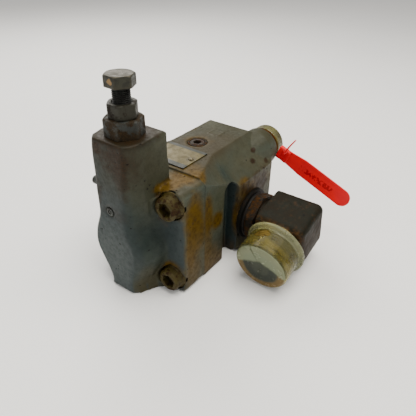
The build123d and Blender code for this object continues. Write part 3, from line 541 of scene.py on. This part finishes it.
def plate_print():
    """Printed plate: cream panel with faint rules, and dark bands at both ends."""
    look = Look("plate_print", 0.40, 0.10, Specular_IOR_Level=0.3)
    x = look.axis("X")
    wear = look.noise(5, 6, 0.65, seed=91)
    cream = look.mix(look.band(wear, 0.3, 0.7), (0.105, 0.083, 0.020), (0.062, 0.047, 0.010))
    rules = look.math("FRACT", look.times(x, 1000 / 3.1))
    rules = look.times(look.band(rules, 0.10, 0.03), look.band(look.noise(5, 3, seed=92), 0.35, 0.6))
    colour = look.mix(look.times(rules, 0.55), cream, (0.026, 0.020, 0.010))
    front = look.band(x, plate_lo.x + 5.4 * MM, plate_lo.x + 5.0 * MM)
    back = look.band(x, plate_hi.x - 3.9 * MM, plate_hi.x - 3.5 * MM)
    dark = look.mix(look.band(wear, 0.35, 0.65), (0.012, 0.014, 0.009), (0.024, 0.027, 0.018))
    colour = look.mix(look.most(front, back), colour, dark)
    # painted shadow: a dark line along the plate's front edge
    rim = look.band(x, plate_lo.x + 0.9 * MM, plate_lo.x + 0.5 * MM)
    colour = look.mix(rim, colour, (0.004, 0.004, 0.003))
    dirty = look.band(look.noise(3, 5, 0.7, seed=93), 0.60, 0.72)
    rivet_dirt = look.most(*[look.spot((-29.75, y, 91), (3.6, 3.6, 2), 0.6, 2, seed=94) for y in (-14.2, 14.2)])
    colour = look.tinted(colour, look.most(dirty, rivet_dirt), 0.6, (0.020, 0.013, 0.005))
    look.raise_by(look.noise(4, 3, seed=95), 0.12)
    return look.done(colour, look.band(wear, 0.3, 0.7, 0.3, 0.55))


head_of_adjuster = adjuster_head()
rubber_look = rubber("rubber")
seal_look = red_plastic()
plate_look = plate_print()

# ---------------- mesh helpers


def mesh_of(name, points, faces):
    data = bpy.data.meshes.new(name)
    data.from_pydata([tuple(p) for p in points], [], faces)
    data.update()
    return data


def dressed(obj, look, body, replaces, slot, angle):
    """The object with its look, riding on a body in place of CAD nodes; edges over the angle are sharp."""
    obj.data.shade_smooth()
    obj.data.set_sharp_from_angle(angle=radians(angle))
    obj.data.materials.clear()
    obj.data.materials.append(look)
    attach(obj, body)
    if replaces:
        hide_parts(*replaces)


def made(name, points, faces, look, body, replaces, slot, angle):
    """One mesh piece that rides on a body."""
    dressed(linked(name, mesh_of(name, points, faces)), look, body, replaces, slot, angle)


class Place:
    """An origin with an axis, and a direction across it that angle 0 points along."""

    def __init__(self, origin, axis, across):
        self.origin = Vector(origin)
        self.w = Vector(axis).normalized()
        self.u = (Vector(across) - self.w * Vector(across).dot(self.w)).normalized()
        self.v = self.w.cross(self.u)

    def point(self, angle, radius, along):
        return self.origin + (self.u * cos(angle) + self.v * sin(angle)) * radius + self.w * along


def turned(place, rings, count=96, loop=False, start=0):
    """Points and faces of a shape given as rings: (distance along the axis, radius or function of the angle)."""
    points, faces = [], []
    for along, radius in rings:
        for k in range(count):
            angle = TAU * k / count
            points.append(place.point(angle, radius(angle) if callable(radius) else radius, along))
    last = len(rings) - 1
    for j in range(last + (1 if loop else 0)):
        a, b = start + j * count, start + (0 if j == last else (j + 1) * count)
        faces += [(a + k, a + (k + 1) % count, b + (k + 1) % count, b + k) for k in range(count)]
    if not loop:
        faces.append(tuple(start + k for k in reversed(range(count))))
        faces.append(tuple(start + last * count + k for k in range(count)))
    return points, faces


def lathed(name, place, rings, count, *dress):
    """One mesh piece whose rings close on themselves."""
    made(name, *turned(place, rings, count, loop=True), *dress)


def joined(*shapes):
    """Several (points, faces) as one."""
    points, faces = [], []
    for p, f in shapes:
        base = len(points)
        points += p
        faces += [tuple(i + base for i in face) for face in f]
    return points, faces


def smooth_max(a, b, k):
    return (a + b + sqrt((a - b) ** 2 + k * k)) / 2


def hexagon(across_flats, turn=0.0):
    """Radius of a hexagon at an angle, its corners slightly worn."""
    flat = across_flats / 2

    def radius(angle):
        inner = (angle - turn) % (pi / 3) - pi / 6
        sharp = flat / cos(inner)
        worn = flat * 1.128
        return -smooth_max(-sharp, -worn, flat * 0.012)
    return radius


def ribbed(radius, depth, count):
    """Radius of a rim with this many ribs, in millimetres, at an angle."""
    return lambda angle: (radius - depth * (0.5 + 0.5 * cos(count * angle))) * MM


def rings_from(base, *rings):
    """Rings at distances from a height: (distance, radius) in millimetres, or a function in place of a radius."""
    return [(base + along * MM, radius if callable(radius) else radius * MM) for along, radius in rings]


CONE = 0.62     # height of a nut's turned-off corner over its depth


def nut_rings(across_flats, turn, low, high, bevel, both):
    """Rings of a hexagon, its width in millimetres, with its corners turned off at the top or at both ends."""
    shape = hexagon(across_flats * MM, turn)
    corner = across_flats * MM / sqrt(3)
    rings = []
    drop = bevel * CONE
    heights = [low]
    if both:
        heights += [low + drop * t for t in (0.25, 0.5, 0.75, 1.0)]
    heights += [(low + high) / 2] + [high - drop * t for t in (1.0, 0.75, 0.5, 0.25, 0.08)] + [high]
    for z in heights:
        cone = corner - bevel + (high - z) / CONE
        if both:
            cone = min(cone, corner - bevel + (z - low) / CONE)
        if z == high:
            cone -= 0.25 * MM
        rings.append((z, lambda a, c=cone: -smooth_max(-shape(a), -c, 0.0002)))
    return rings


def thread_rings(low, high, root, crest, pitch):
    """Rings of a screw thread between two heights, eight to each turn."""
    rings = []
    total = int((high - low) / pitch * 8)
    for k in range(total + 1):
        z = low + (high - low) * k / total
        runout = min(1.0, (z - low) / pitch, (high - z) / pitch)

        def radius(angle, z=z, runout=runout):
            phase = (z / pitch - angle / TAU) % 1
            tooth = min(1, max(0, (1 - abs(2 * phase - 1)) * 1.35 - 0.15))
            return root + (crest - root) * tooth * runout
        rings.append((z, radius))
    return rings


def sheet_faces(long, wide, flip):
    """Faces of a thin closed sheet whose points are two grids, one for each side."""
    across = wide + 1
    size = (long + 1) * across
    faces = []
    for i in range(long):
        for j in range(wide):
            a = i * across + j
            faces.append((a, a + 1, a + across + 1, a + across))
            faces.append((size + a, size + a + across, size + a + across + 1, size + a + 1))
    rim = [i * across for i in range(long)] + [long * across + j for j in range(wide)]
    rim += [i * across + wide for i in range(long, 0, -1)] + [j for j in range(wide, 0, -1)]
    faces += [(a, b, size + b, size + a) for a, b in zip(rim, rim[1:] + rim[:1])]
    return [(a, d, c, b) for a, b, c, d in faces] if flip else faces


def copy_of(node, name):
    """A new object with a copy of a CAD node's mesh."""
    return linked(name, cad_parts[node].data.copy())


def applied(obj):
    """The object with its modifiers applied to its mesh."""
    graph = bpy.context.evaluated_depsgraph_get()
    mesh = bpy.data.meshes.new_from_object(obj.evaluated_get(graph))
    obj.modifiers.clear()
    obj.data = mesh
    return obj


def remeshed(obj, voxel, rounds):
    """The object finely remeshed, its edges rounded as a casting's or forging's are."""
    remesh = obj.modifiers.new("remesh", "REMESH")
    remesh.mode = "VOXEL"
    remesh.voxel_size = voxel * MM
    smooth = obj.modifiers.new("smooth", "SMOOTH")
    smooth.factor = 0.5
    smooth.iterations = rounds
    return applied(obj)


def cut_off(obj, point, normal, weld=False):
    """The object without what lies beyond a plane, the cut closed."""
    mesh = bmesh.new()
    mesh.from_mesh(obj.data)
    if weld:
        bmesh.ops.remove_doubles(mesh, verts=mesh.verts, dist=1e-6)
    everything = mesh.verts[:] + mesh.edges[:] + mesh.faces[:]
    bmesh.ops.bisect_plane(mesh, geom=everything, plane_co=point, plane_no=normal, clear_outer=True)
    bmesh.ops.holes_fill(mesh, edges=[e for e in mesh.edges if e.is_boundary])
    mesh.to_mesh(obj.data)
    mesh.free()
    return obj


def read(items, key, kind=np.float32):
    """Three numbers of each vertex or normal, as rows."""
    values = np.empty(len(items) * 3, kind)
    items.foreach_get(key, values)
    return values.reshape(-1, 3)


def move(data, points):
    """Puts a mesh's vertices at these rows."""
    data.vertices.foreach_set("co", points.ravel())
    data.update()


def weathered(obj, layers, keep=None):
    """Moves the surface inwards by noise: layers are (feature size, depth) in millimetres."""
    points = read(obj.data.vertices, "co")
    normals = read(obj.data.vertex_normals, "vector")
    inwards = np.zeros(len(points), np.float32)
    for size, depth in layers:
        scale = 1 / (size * MM)
        shift = Vector((size * 1.7, size * 0.3, size * 2.1))
        grain = [noise.noise(Vector(p) * scale + shift) * 0.5 + 0.5 for p in points.tolist()]
        inwards += np.array(grain, np.float32) * depth * MM
    if keep is not None:
        inwards *= keep(points)
    points -= normals * inwards[:, None]
    points[:, 2] = np.maximum(points[:, 2], 0)
    move(obj.data, points)


def relaxed(obj, rounds, share):
    """Evens a mesh out; share gives how strongly, from 0 to 1, at each point."""
    points = read(obj.data.vertices, "co", float)
    count = len(points)
    edges = np.empty(len(obj.data.edges) * 2, np.int64)
    obj.data.edges.foreach_get("vertices", edges)
    a, b = edges.reshape(-1, 2).T
    links = np.bincount(a, minlength=count) + np.bincount(b, minlength=count)
    pull = (0.5 * share(points) / np.maximum(links, 1))[:, None]
    for _ in range(rounds):
        around = [np.bincount(a, points[b, k], count) + np.bincount(b, points[a, k], count) for k in range(3)]
        points += (np.stack(around, 1) - points * links[:, None]) * pull
    move(obj.data, points)


def ramp(value, low, high):
    """0 at low and 1 at high, in millimetres, smoothly."""
    t = np.clip((value - low * MM) / ((high - low) * MM), 0, 1)
    return t * t * (3 - 2 * t)


# ---------------- castings


def blended(points):
    """Where the tower runs into its flange, away from the screws."""
    x, y, z = points.T
    aside = np.abs(y)
    away = np.minimum(np.hypot(aside - 30 * MM, z - 12.5 * MM), np.hypot(aside - 30 * MM, z - 77.5 * MM))
    flange = ramp(z, 6, 12) * ramp(z, 112, 96) * ramp(aside, 11, 15) * ramp(x, -95, -91) * ramp(x, -71, -73)
    return flange * ramp(away, 12.0, 15.0)


def tower_edges(points):
    """The tower's own edges, most of all its top corners at the back."""
    x, y, z = points.T
    front = 0.45 * ramp(z, 92, 100) * ramp(x, -84, -90)
    back = ramp(z, 100, 112) * ramp(x, -74, -68)
    foot = 0.6 * ramp(x, -72, -80) * ramp(z, 90, 80)
    return np.clip(front + back + foot * (np.abs(y) < 13 * MM), 0, 1) * ramp(np.hypot(x - ADJ_X, y), 12, 14)


def both_castings():
    """Head and body remeshed as one solid, so that they meet without a groove."""
    obj = copy_of("main_body", "castings")
    mesh = bmesh.new()
    mesh.from_mesh(obj.data)
    start = len(mesh.verts)
    mesh.from_mesh(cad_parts["pilot_head"].data)
    mesh.verts.ensure_lookup_table()
    for vertex in mesh.verts[start:]:
        if vertex.co.x > JOINT_X - 0.01 * MM:
            vertex.co.x += 0.9 * MM
    mesh.to_mesh(obj.data)
    mesh.free()
    return remeshed(obj, 0.75, 5)


whole = both_castings()
relaxed(whole, 110, blended)
relaxed(whole, 30, tower_edges)
weathered(whole, [(22, 0.40), (6, 0.16)])
for name, side, look, node in (("body_casting", -1, body_look, "main_body"),
                               ("head_casting", 1, head_look, "pilot_head")):
    half = cut_off(linked(name, whole.data.copy()), (JOINT_X, 0, 0), (side, 0, 0))
    dressed(half, look, "valve", [node], "casting", 60)
bpy.data.objects.remove(whole)

# ---------------- adjuster

VIEW_TURN = radians(35.3)
BONNET_HEX, SCREW_HEX, JAM_HEX = 24, 18, 38     # across flats

low, high = head_hi.z, nut_lo.z
rings = rings_from(bonnet_lo.z, (0, 7.0), (0, 9.9)) + rings_from(low, (0, 9.9))
rings += nut_rings(BONNET_HEX, VIEW_TURN - radians(11.5), low, high, 1.6 * MM, False)
rings += rings_from(high, (0, 9.0), (-0.5, 8.2), (-0.5, 6.5)) + rings_from(low, (-4.5, 6.1), (-4.5, 7.0))
axis = Place((ADJ_X, 0, 0), (0, 0, 1), (1, 0, 0))
lathed("bonnet", axis, rings, 120, bonnet_look, "valve", ["adjuster_bonnet"], "plated_steel", 30)

low, high = nut_lo.z + 0.03 * MM, nut_hi.z
rings = rings_from(low, (0, 6.9)) + nut_rings(SCREW_HEX, VIEW_TURN, low, high, 1.3 * MM, True)
rings += rings_from(high, (0, 7.0), (-0.8, 6.1)) + rings_from(nut_lo.z, (0.8, 6.1))
lathed("lock_nut_hex", axis, rings, 120, nut_look, "nut", ["lock_nut"], "plated_steel", 30)

under = screw_hi.z - 7.5 * MM
rings = rings_from(screw_lo.z, (0, 4.8), (0.9, 5.3))
rings += thread_rings(screw_lo.z + 1.2 * MM, under - 1.0 * MM, 5.25 * MM, 5.98 * MM, 1.25 * MM)
rings += rings_from(under, (-0.6, 5.3), (0, 5.8), (0, 8.6))
rings += nut_rings(SCREW_HEX, VIEW_TURN - radians(9), under + 0.01 * MM, screw_hi.z, 1.6 * MM, False)
rings += rings_from(screw_hi.z, (-0.02, 6.5), (-0.10, 3.0))
made("adjuster", *turned(axis, rings, 120), head_of_adjuster, "screw", ["adjusting_screw"], "plated_steel", 30)

# ---------------- head screws

SCREW_HEAD = 9     # radius
SOCKET = hexagon(10 * MM, radians(42))


def socket_screw(y, z):
    """Socket head cap screw with a knurled rim, lying along X."""
    knurl = ribbed(SCREW_HEAD, 0.16, 56)
    rings = rings_from(
        0, (6.4, 0.2), (6.0, lambda a: SOCKET(a) * 0.98), (0.7, SOCKET), (0.15, lambda a: SOCKET(a) * 1.06 + 0.0002),
        (0, 6.6), (0, 7.2), (0.5, 8.1), (1.2, 8.7), (1.8, 8.93), (2.0, knurl), (6.3, knurl), (7.0, 8.9), (7.6, 9.6),
        (8.6, 10.55), (9.4, 10.55), (9.6, 8.9), (11.98, 8.9), (11.98, 6.0), (49.8, 5.9), (50.9, 5.0))
    return turned(Place((screws_lo.x, y, z), (1, 0, 0), (0, 1, 0)), rings, 336)


screw_y = screws_hi.y - SCREW_HEAD * MM
screw_z = (screws_lo.z + SCREW_HEAD * MM, screws_hi.z - SCREW_HEAD * MM)
made("cap_screws", *joined(*[socket_screw(y, z) for y in (-screw_y, screw_y) for z in screw_z]),
     screw_look, "valve", ["head_screws"], "screw_steel", 32)

# ---------------- plugs, nameplate and rivets

plug_place = Place((PLUG_X, PLUG_Y, plug_hi.z), (0, 0, -1), (1, 0, 0))
SOCKET_SMALL = hexagon(6 * MM, radians(-50))
rings = rings_from(0, (5.6, 0.2), (5.4, SOCKET_SMALL), (0.5, SOCKET_SMALL), (0.05, lambda a: SOCKET_SMALL(a) * 1.08),
                   (0, 4.2), (0, 5.6), (0.5, 6.3), (0.9, 6.45), (10.9, 6.45))
made("gauge_plug", *turned(plug_place, rings, 96), plug_look, "valve", ["gauge_port_plug"], "plated_steel", 32)

ring_place = Place((PLUG_X, PLUG_Y, ring_lo.z), (0, 0, 1), (1, 0, 0))
profile = ((0, 6.65), (0, 8.15), (0.6, 8.15), (0.9, 7.9), (1, 7.5), (1, 7.1), (0.85, 6.65))
rings = [((ring_hi.z - ring_lo.z) * share, radius * MM) for share, radius in profile]
lathed("gauge_ring", ring_place, rings, 96, ring_look, "valve", ["gauge_plug_seal"], "rubber", 40)


def sheet_plate():
    """The nameplate as a thin sheet with a slightly uneven face."""
    long, wide = 44, 52
    points, top = [], plate_hi.z - 0.05 * MM
    for side in (0, 1):
        for i in range(long + 1):
            for j in range(wide + 1):
                x = plate_lo.x + (plate_hi.x - plate_lo.x) * i / long
                y = plate_lo.y + (plate_hi.y - plate_lo.y) * j / wide
                dip = noise.noise(Vector((x, y, 0)) * 90) * 0.10 * MM
                z = top - 0.12 * MM + dip if side == 0 else plate_lo.z + 0.02 * MM
                points.append((x, y, z))
    return points, sheet_faces(long, wide, True)


made("plate", *sheet_plate(), plate_look, "valve", ["nameplate"], "plate", 50)


def rivet(y):
    place = Place(((rivets_lo.x + rivets_hi.x) / 2, y, plate_lo.z), (0, 0, 1), (1, 0, 0))
    high = rivets_hi.z - plate_lo.z
    dome = [(high * 0.42 + high * 0.56 * sin(t), 2.1 * MM * cos(t)) for t in (0.0, 0.35, 0.7, 1.0, 1.25, 1.45)]
    return turned(place, [(0.1 * MM, 1.2 * MM), (high * 0.40, 1.2 * MM), (high * 0.40, 2.0 * MM)] + dome, 48)


made("rivets", *joined(*[rivet(y) for y in (rivets_lo.y + 2.1 * MM, rivets_hi.y - 2.1 * MM)]), rivet_look, "valve",
     ["nameplate_rivets"], "steel", 50)

# ---------------- elbow

block = cut_off(copy_of("elbow_fitting", "elbow_forging"), MID + BRANCH * 24 * MM, BRANCH, weld=True)
remeshed(block, 0.6, 14)


def stamped(points):
    """Hardly any weathering inside the port."""
    return np.where(points[:, 1] > ELBOW_Y + ELBOW_HALF, 0.3, 1.0)


weathered(block, [(14, 0.5), (4, 0.22)], stamped)
# a raised round forging mark on the top face
co = read(block.data.vertices, "co")
away = np.hypot(co[:, 0] - (PORT_X + 2 * MM), co[:, 1] - ELBOW_Y)
mark = np.exp(-((away - 4.6 * MM) / (0.9 * MM)) ** 2) * 0.45 + (away < 3.4 * MM) * -0.15
co[:, 2] -= (1 - np.clip(mark, -0.5, 1)) * 0.35 * MM * (co[:, 2] > PORT_Z + 14 * MM)
move(block.data, co)
dressed(block, elbow_look, "valve", ["elbow_fitting"], "fitting_steel", 60)

branch_place = Place(MID, BRANCH, (0, 1, 0))
rings = rings_from(0, (20, 12.3), (20, 20.2), (24.4, 20.2))
rings += thread_rings(24.8 * MM, 46.8 * MM, 19.6 * MM, 20.85 * MM, 2.0 * MM)
rings += rings_from(0, (47.05, 19.4), (47.05, 16.0), (40.0, 14.0), (39.9, 12.3))
lathed("elbow_thread", branch_place, rings, 160, gold_look, "valve", (), "fitting_steel", 40)

port_place = Place((PORT_X, 0, PORT_Z), (0, 1, 0), (1, 0, 0))
inner = 16.65
rings = rings_from(washer_lo.y, (0, inner + 0.1), (0, 21.6), (0.5, 22.3))
rings += rings_from(washer_hi.y, (-0.7, 22.5), (0, 22.1), (0, inner + 0.1))
lathed("port_washer", port_place, rings, 128, black_ring_look, "valve", ["elbow_washer"], "plated_steel", 40)
wide = rubber_hi.y - rubber_lo.y
rings = [(rubber_lo.y + wide * (0.5 - 0.5 * cos(t)), 19.3 * MM + 0.95 * MM * sin(t))
         for t in (0.3, 0.8, 1.2, 1.57, 1.95, 2.35, 2.85)]
rings = rings_from(rubber_lo.y, (0, inner)) + rings + rings_from(rubber_hi.y, (0, inner))
lathed("port_rubber", port_place, rings, 128, rubber_look, "valve", ["elbow_o_ring"], "rubber", 60)
rings = nut_rings(JAM_HEX, radians(20), jam_lo.y, jam_hi.y, 1.6 * MM, True)
rings = rings_from(jam_lo.y, (0, inner)) + rings + rings_from(jam_hi.y, (0, inner))
lathed("jam_nut", port_place, rings, 120, ring_look, "valve", ["elbow_jam_nut"], "fitting_steel", 30)

# ---------------- elbow's thread cap


TEAR = -70.0     # direction of the opening, in degrees
CAP_WALL = 0.95


def degrees_from(angle, target):
    """Signed difference in degrees between an angle in radians and a target in degrees."""
    return (angle * 180 / pi - target + 180) % 360 - 180


def torn_away(along, angle):
    """Whether the cap's wall is missing: an opening at its upper left, and a crack from there to its end."""
    away = degrees_from(angle, TEAR) / 21.0
    torn = ((along - 33.0) / 4.6) ** 2 + away ** 2 + 0.45 * noise.noise(Vector((along * 0.4, angle * 4, 3.1)))
    line = TEAR - 12 + (along - 32) * 0.9 + 5 * noise.noise(Vector((along * 0.25, 0.5, 0)))
    return torn < 0.9 or (36 < along < 49.3 and abs(degrees_from(angle, line)) < 1.1)


def broken_cap():
    """A thin push-on cap with a rolled lip: (distance, radius) in millimetres along the branch."""
    outer = [(23.7, 21.9), (23.65, 24.4), (23.9, 25.1), (24.5, 25.35), (25.6, 25.35), (26.4, 25.1), (26.9, 24.5),
             (27.3, 23.4), (27.8, 22.6), (28.5, 22.25)]
    outer += [(28.5 + k * 0.75, 22.2) for k in range(1, 25)]
    outer += [(47.3, 22.1), (48.0, 21.8), (48.6, 21.2), (49.0, 20.3), (49.25, 19.0), (49.2, 16.5), (49.1, 14.0),
              (49.0, 11.0), (49.05, 8.0), (49.1, 5.0), (49.1, 2.0), (49.1, 0.15)]
    count = 180
    points, faces = [], []
    for along, radius in outer:
        for k in range(count):
            a = TAU * k / count
            ripple = 0.0
            if 29 < along < 46.5:
                uneven = noise.noise(Vector((cos(a) * 2, sin(a) * 2, along * 0.3)))
                ripple = 0.16 * sin(TAU * along / 2.6 - a) + 0.12 * uneven
            points.append(branch_place.point(a, max(0.1, radius - 0.25 + ripple) * MM, along * MM))
    for j in range(len(outer) - 1):
        for k in range(count):
            if not torn_away((outer[j][0] + outer[j + 1][0]) / 2, TAU * (k + 0.5) / count):
                a, b = j * count, (j + 1) * count
                faces.append((a + k, a + (k + 1) % count, b + (k + 1) % count, b + k))
    return points, faces


cap = linked("thread_cap", mesh_of("thread_cap", *broken_cap()))
thicken = cap.modifiers.new("wall", "SOLIDIFY")
thicken.thickness = CAP_WALL * MM
thicken.offset = -1
applied(cap)
dressed(cap, cap_look, "elbow_cover", ["elbow_cap"], "clear_plastic", 50)

# ---------------- rear cap

rear_place = Place((0, REAR_Y, REAR_Z), (1, 0, 0), (0, 1, 0))
grip = ribbed(15.9, 0.18, 40)
rings = rings_from(rear_cap_lo.x, (0, 13.75), (0, 15.6), (0.4, 16.0), (1.4, 16.05), (1.8, grip))
rings += rings_from(rear_cap_hi.x, (-2.0, grip), (-1.5, 15.8), (-0.6, 15.3), (-0.1, 14.4), (0, 13.2), (-0.4, 11.8),
                    (-0.5, 6.0), (-0.4, 0.2), (-2.0, 0.2), (-2.1, 13.6))
rings += rings_from(rear_cap_lo.x, (0.2, 13.72))
lathed("rear_thread_cap", rear_place, rings, 240, rear_cap_look, "rear_cover", ["rear_cap"], "yellow_plastic", 45)

# ---------------- security seal

down = Vector((0, -cos(SLOPE), -sin(SLOPE)))
over = Vector((0, sin(SLOPE), -cos(SLOPE)))
TAG_X = (strap_lo.x + strap_hi.x) / 2
LOCK = Vector((TAG_X, REAR_Y - 23.0 * MM, REAR_Z - 2.2 * MM))


def flag():
    """The printed flag: a thin strip with round ends, thicker rims, and a slight bend."""
    long, wide = 72, 14
    length, half = 74 * MM, 8.1 * MM
    begin = -4 * MM
    points, rows = [], []
    for i in range(long + 1):
        t = begin + length * i / long
        edge = min(t - begin, begin + length - t)
        reach = half * (1 if edge >= half else sqrt(max(0.0004, 1 - (1 - edge / half) ** 2)))
        # narrower where it leaves the lock
        reach = min(reach, half * (0.80 + 0.20 * min(1, max(0, (t - 6 * MM) / (14 * MM)))))
        rows.append((t, reach))
    for side in (1, -1):
        for t, reach in rows:
            sag = 0.54 * MM * sin(pi * min(1, max(0, (t - begin) / length)))
            for j in range(wide + 1):
                s = -1 + 2 * j / wide
                rim = 0.62 if abs(s) > 0.84 or t > begin + length - 1.6 * MM else 0.46
                place = LOCK + down * t + over * (s * reach - sag)
                place.x += side * rim * MM + 0.09 * MM * sin(t / (9 * MM))
                points.append(place)
    return points, sheet_faces(long, wide, False)


made("seal_flag", *flag(), seal_look, "seal", ["seal_tag"], "red_plastic", 60)


def rounded_block(middle, half, round_by, push):
    """A box with rounded edges as a grid, axes: X, down, over."""
    n = 10
    points, faces, index = [], [], {}
    axes = (Vector((1, 0, 0)), down, over)

    def vertex(c):
        key = tuple(round(x, 5) for x in c)
        if key not in index:
            p = [c[k] * half[k] for k in range(3)]
            core = [max(-(half[k] - round_by), min(half[k] - round_by, p[k])) for k in range(3)]
            d = Vector([p[k] - core[k] for k in range(3)])
            if d.length > 1e-9:
                d = d.normalized() * round_by
            q = [core[k] + d[k] for k in range(3)]
            place = middle + sum((axes[k] * q[k] for k in range(3)), Vector())
            index[key] = len(points)
            points.append(place + push(c))
        return index[key]

    for fixed in range(3):
        for side in (-1, 1):
            u, v = [k for k in range(3) if k != fixed]
            for i in range(n):
                for j in range(n):
                    corners = []
                    for di, dj in ((0, 0), (1, 0), (1, 1), (0, 1)):
                        c = [0, 0, 0]
                        c[fixed] = side
                        c[u] = -1 + 2 * (i + di) / n
                        c[v] = -1 + 2 * (j + dj) / n
                        corners.append(vertex(c))
                    flip = (side == 1) == (fixed != 1)
                    faces.append(tuple(corners if flip else reversed(corners)))
    return points, faces


lock_shape = rounded_block(LOCK - down * 0.2 * MM, (2.0 * MM, 5.6 * MM, 6.2 * MM), 1.1 * MM,
                           lambda c: Vector((0.25 * MM * (abs(c[1]) < 0.35 and c[0] < -0.5), 0, 0)))
slot_shape = rounded_block(LOCK + down * 0.6 * MM - Vector((1.5 * MM, 0, 0)), (0.65 * MM, 2.2 * MM, 4.4 * MM),
                           0.5 * MM, lambda c: Vector())
made("seal_lock", *joined(lock_shape, slot_shape), seal_look, "seal", (), "red_plastic", 40)

to_lock = Vector((0, LOCK.y - REAR_Y, LOCK.z - REAR_Z))
loop_place = Place((strap_lo.x, REAR_Y, REAR_Z), (1, 0, 0), to_lock)


def ridged(radius, depth):
    """The loop's toothed outside, in millimetres, drawn out towards the lock."""
    def at(angle):
        pull = max(0.0, 1 - abs(degrees_from(angle, 0.0)) / 14) * 1.6
        return (radius + pull - depth * (0.5 + 0.5 * cos(72 * angle))) * MM
    return at


rings = rings_from(0, (0.1, 12.85), (0.1, ridged(13.7, 0)), (0.5, ridged(13.98, 0.15)))
rings += rings_from(strap_hi.x - strap_lo.x, (-0.5, ridged(13.98, 0.15)), (-0.1, ridged(13.7, 0)), (-0.1, 12.85))
lathed("seal_loop", loop_place, rings, 288, seal_look, "seal", ["seal_strap"], "red_plastic", 45)


def tail():
    """The strap's cut end: a thin ribbed strip that stands up and leans outwards."""
    begin = Vector((tail_lo.x + 1.1 * MM, tail_hi.y - 1.1 * MM, tail_lo.z + 1.0 * MM))
    end = Vector((tail_lo.x + 1.1 * MM, tail_lo.y + 0.9 * MM, tail_hi.z - 0.3 * MM))
    steps, count = 48, 16
    line = end - begin
    side = line.cross(Vector((1, 0, 0))).normalized()
    points, faces = [], []
    for i in range(steps + 1):
        t = i / steps
        centre = begin + line * t + side * (0.55 * MM * sin(pi * t))
        thin = 1 - 0.35 * t
        rib = 1 + 0.10 * sin(TAU * t * 14)
        for k in range(count):
            a = TAU * k / count
            across = Vector((1, 0, 0)) * (cos(a) * MM * thin * rib)
            points.append(centre + across + side * (sin(a) * 0.9 * MM * thin))
    for i in range(steps):
        for k in range(count):
            a, b = i * count, (i + 1) * count
            faces.append((a + k, b + k, b + (k + 1) % count, a + (k + 1) % count))
    faces.append(tuple(range(count)))
    faces.append(tuple(steps * count + k for k in reversed(range(count))))
    return points, faces


made("seal_end", *tail(), seal_look, "seal", ["seal_tail"], "red_plastic", 50)

# ---------------- CAD nodes that stay

for names, look in (
    (("main_sleeve", "main_piston", "pilot_poppet", "pilot_seat", "spring_plunger"), ground_look),
    (("front_ball_plug", "side_ball_plug"), ball_look),
    (("main_spring", "pilot_spring"), wire_look),
    (("damping_orifice",), brass_look),
    (("rear_adapter",), elbow_look),
    (("joint_o_rings", "sleeve_o_rings", "bonnet_o_ring", "pilot_seat_o_ring", "plunger_o_ring", "rear_adapter_seal"),
     rubber_look),
):
    for name in names:
        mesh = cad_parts[name].data
        mesh.materials.clear()
        mesh.materials.append(look)

# ---------------- floor


def floor():
    """A pale floor just under the object, which goes with the stage."""
    look = Look("floor", 0.75, Specular_IOR_Level=0.2)
    colour = look.mix(look.noise(300, 2, seed=99), (0.90, 0.90, 0.89), (0.86, 0.86, 0.86))
    rows, reach = 24, 6
    places = [-reach + 2 * reach * i / rows for i in range(rows + 1)]
    points = [(x, y, -0.0002) for x in places for y in places]
    corners = [i * (rows + 1) + j for i in range(rows) for j in range(rows)]
    data = mesh_of("floor", points, [(a, a + rows + 1, a + rows + 2, a + 1) for a in corners])
    data.materials.append(look.done(colour))
    linked("floor", data)


floor()
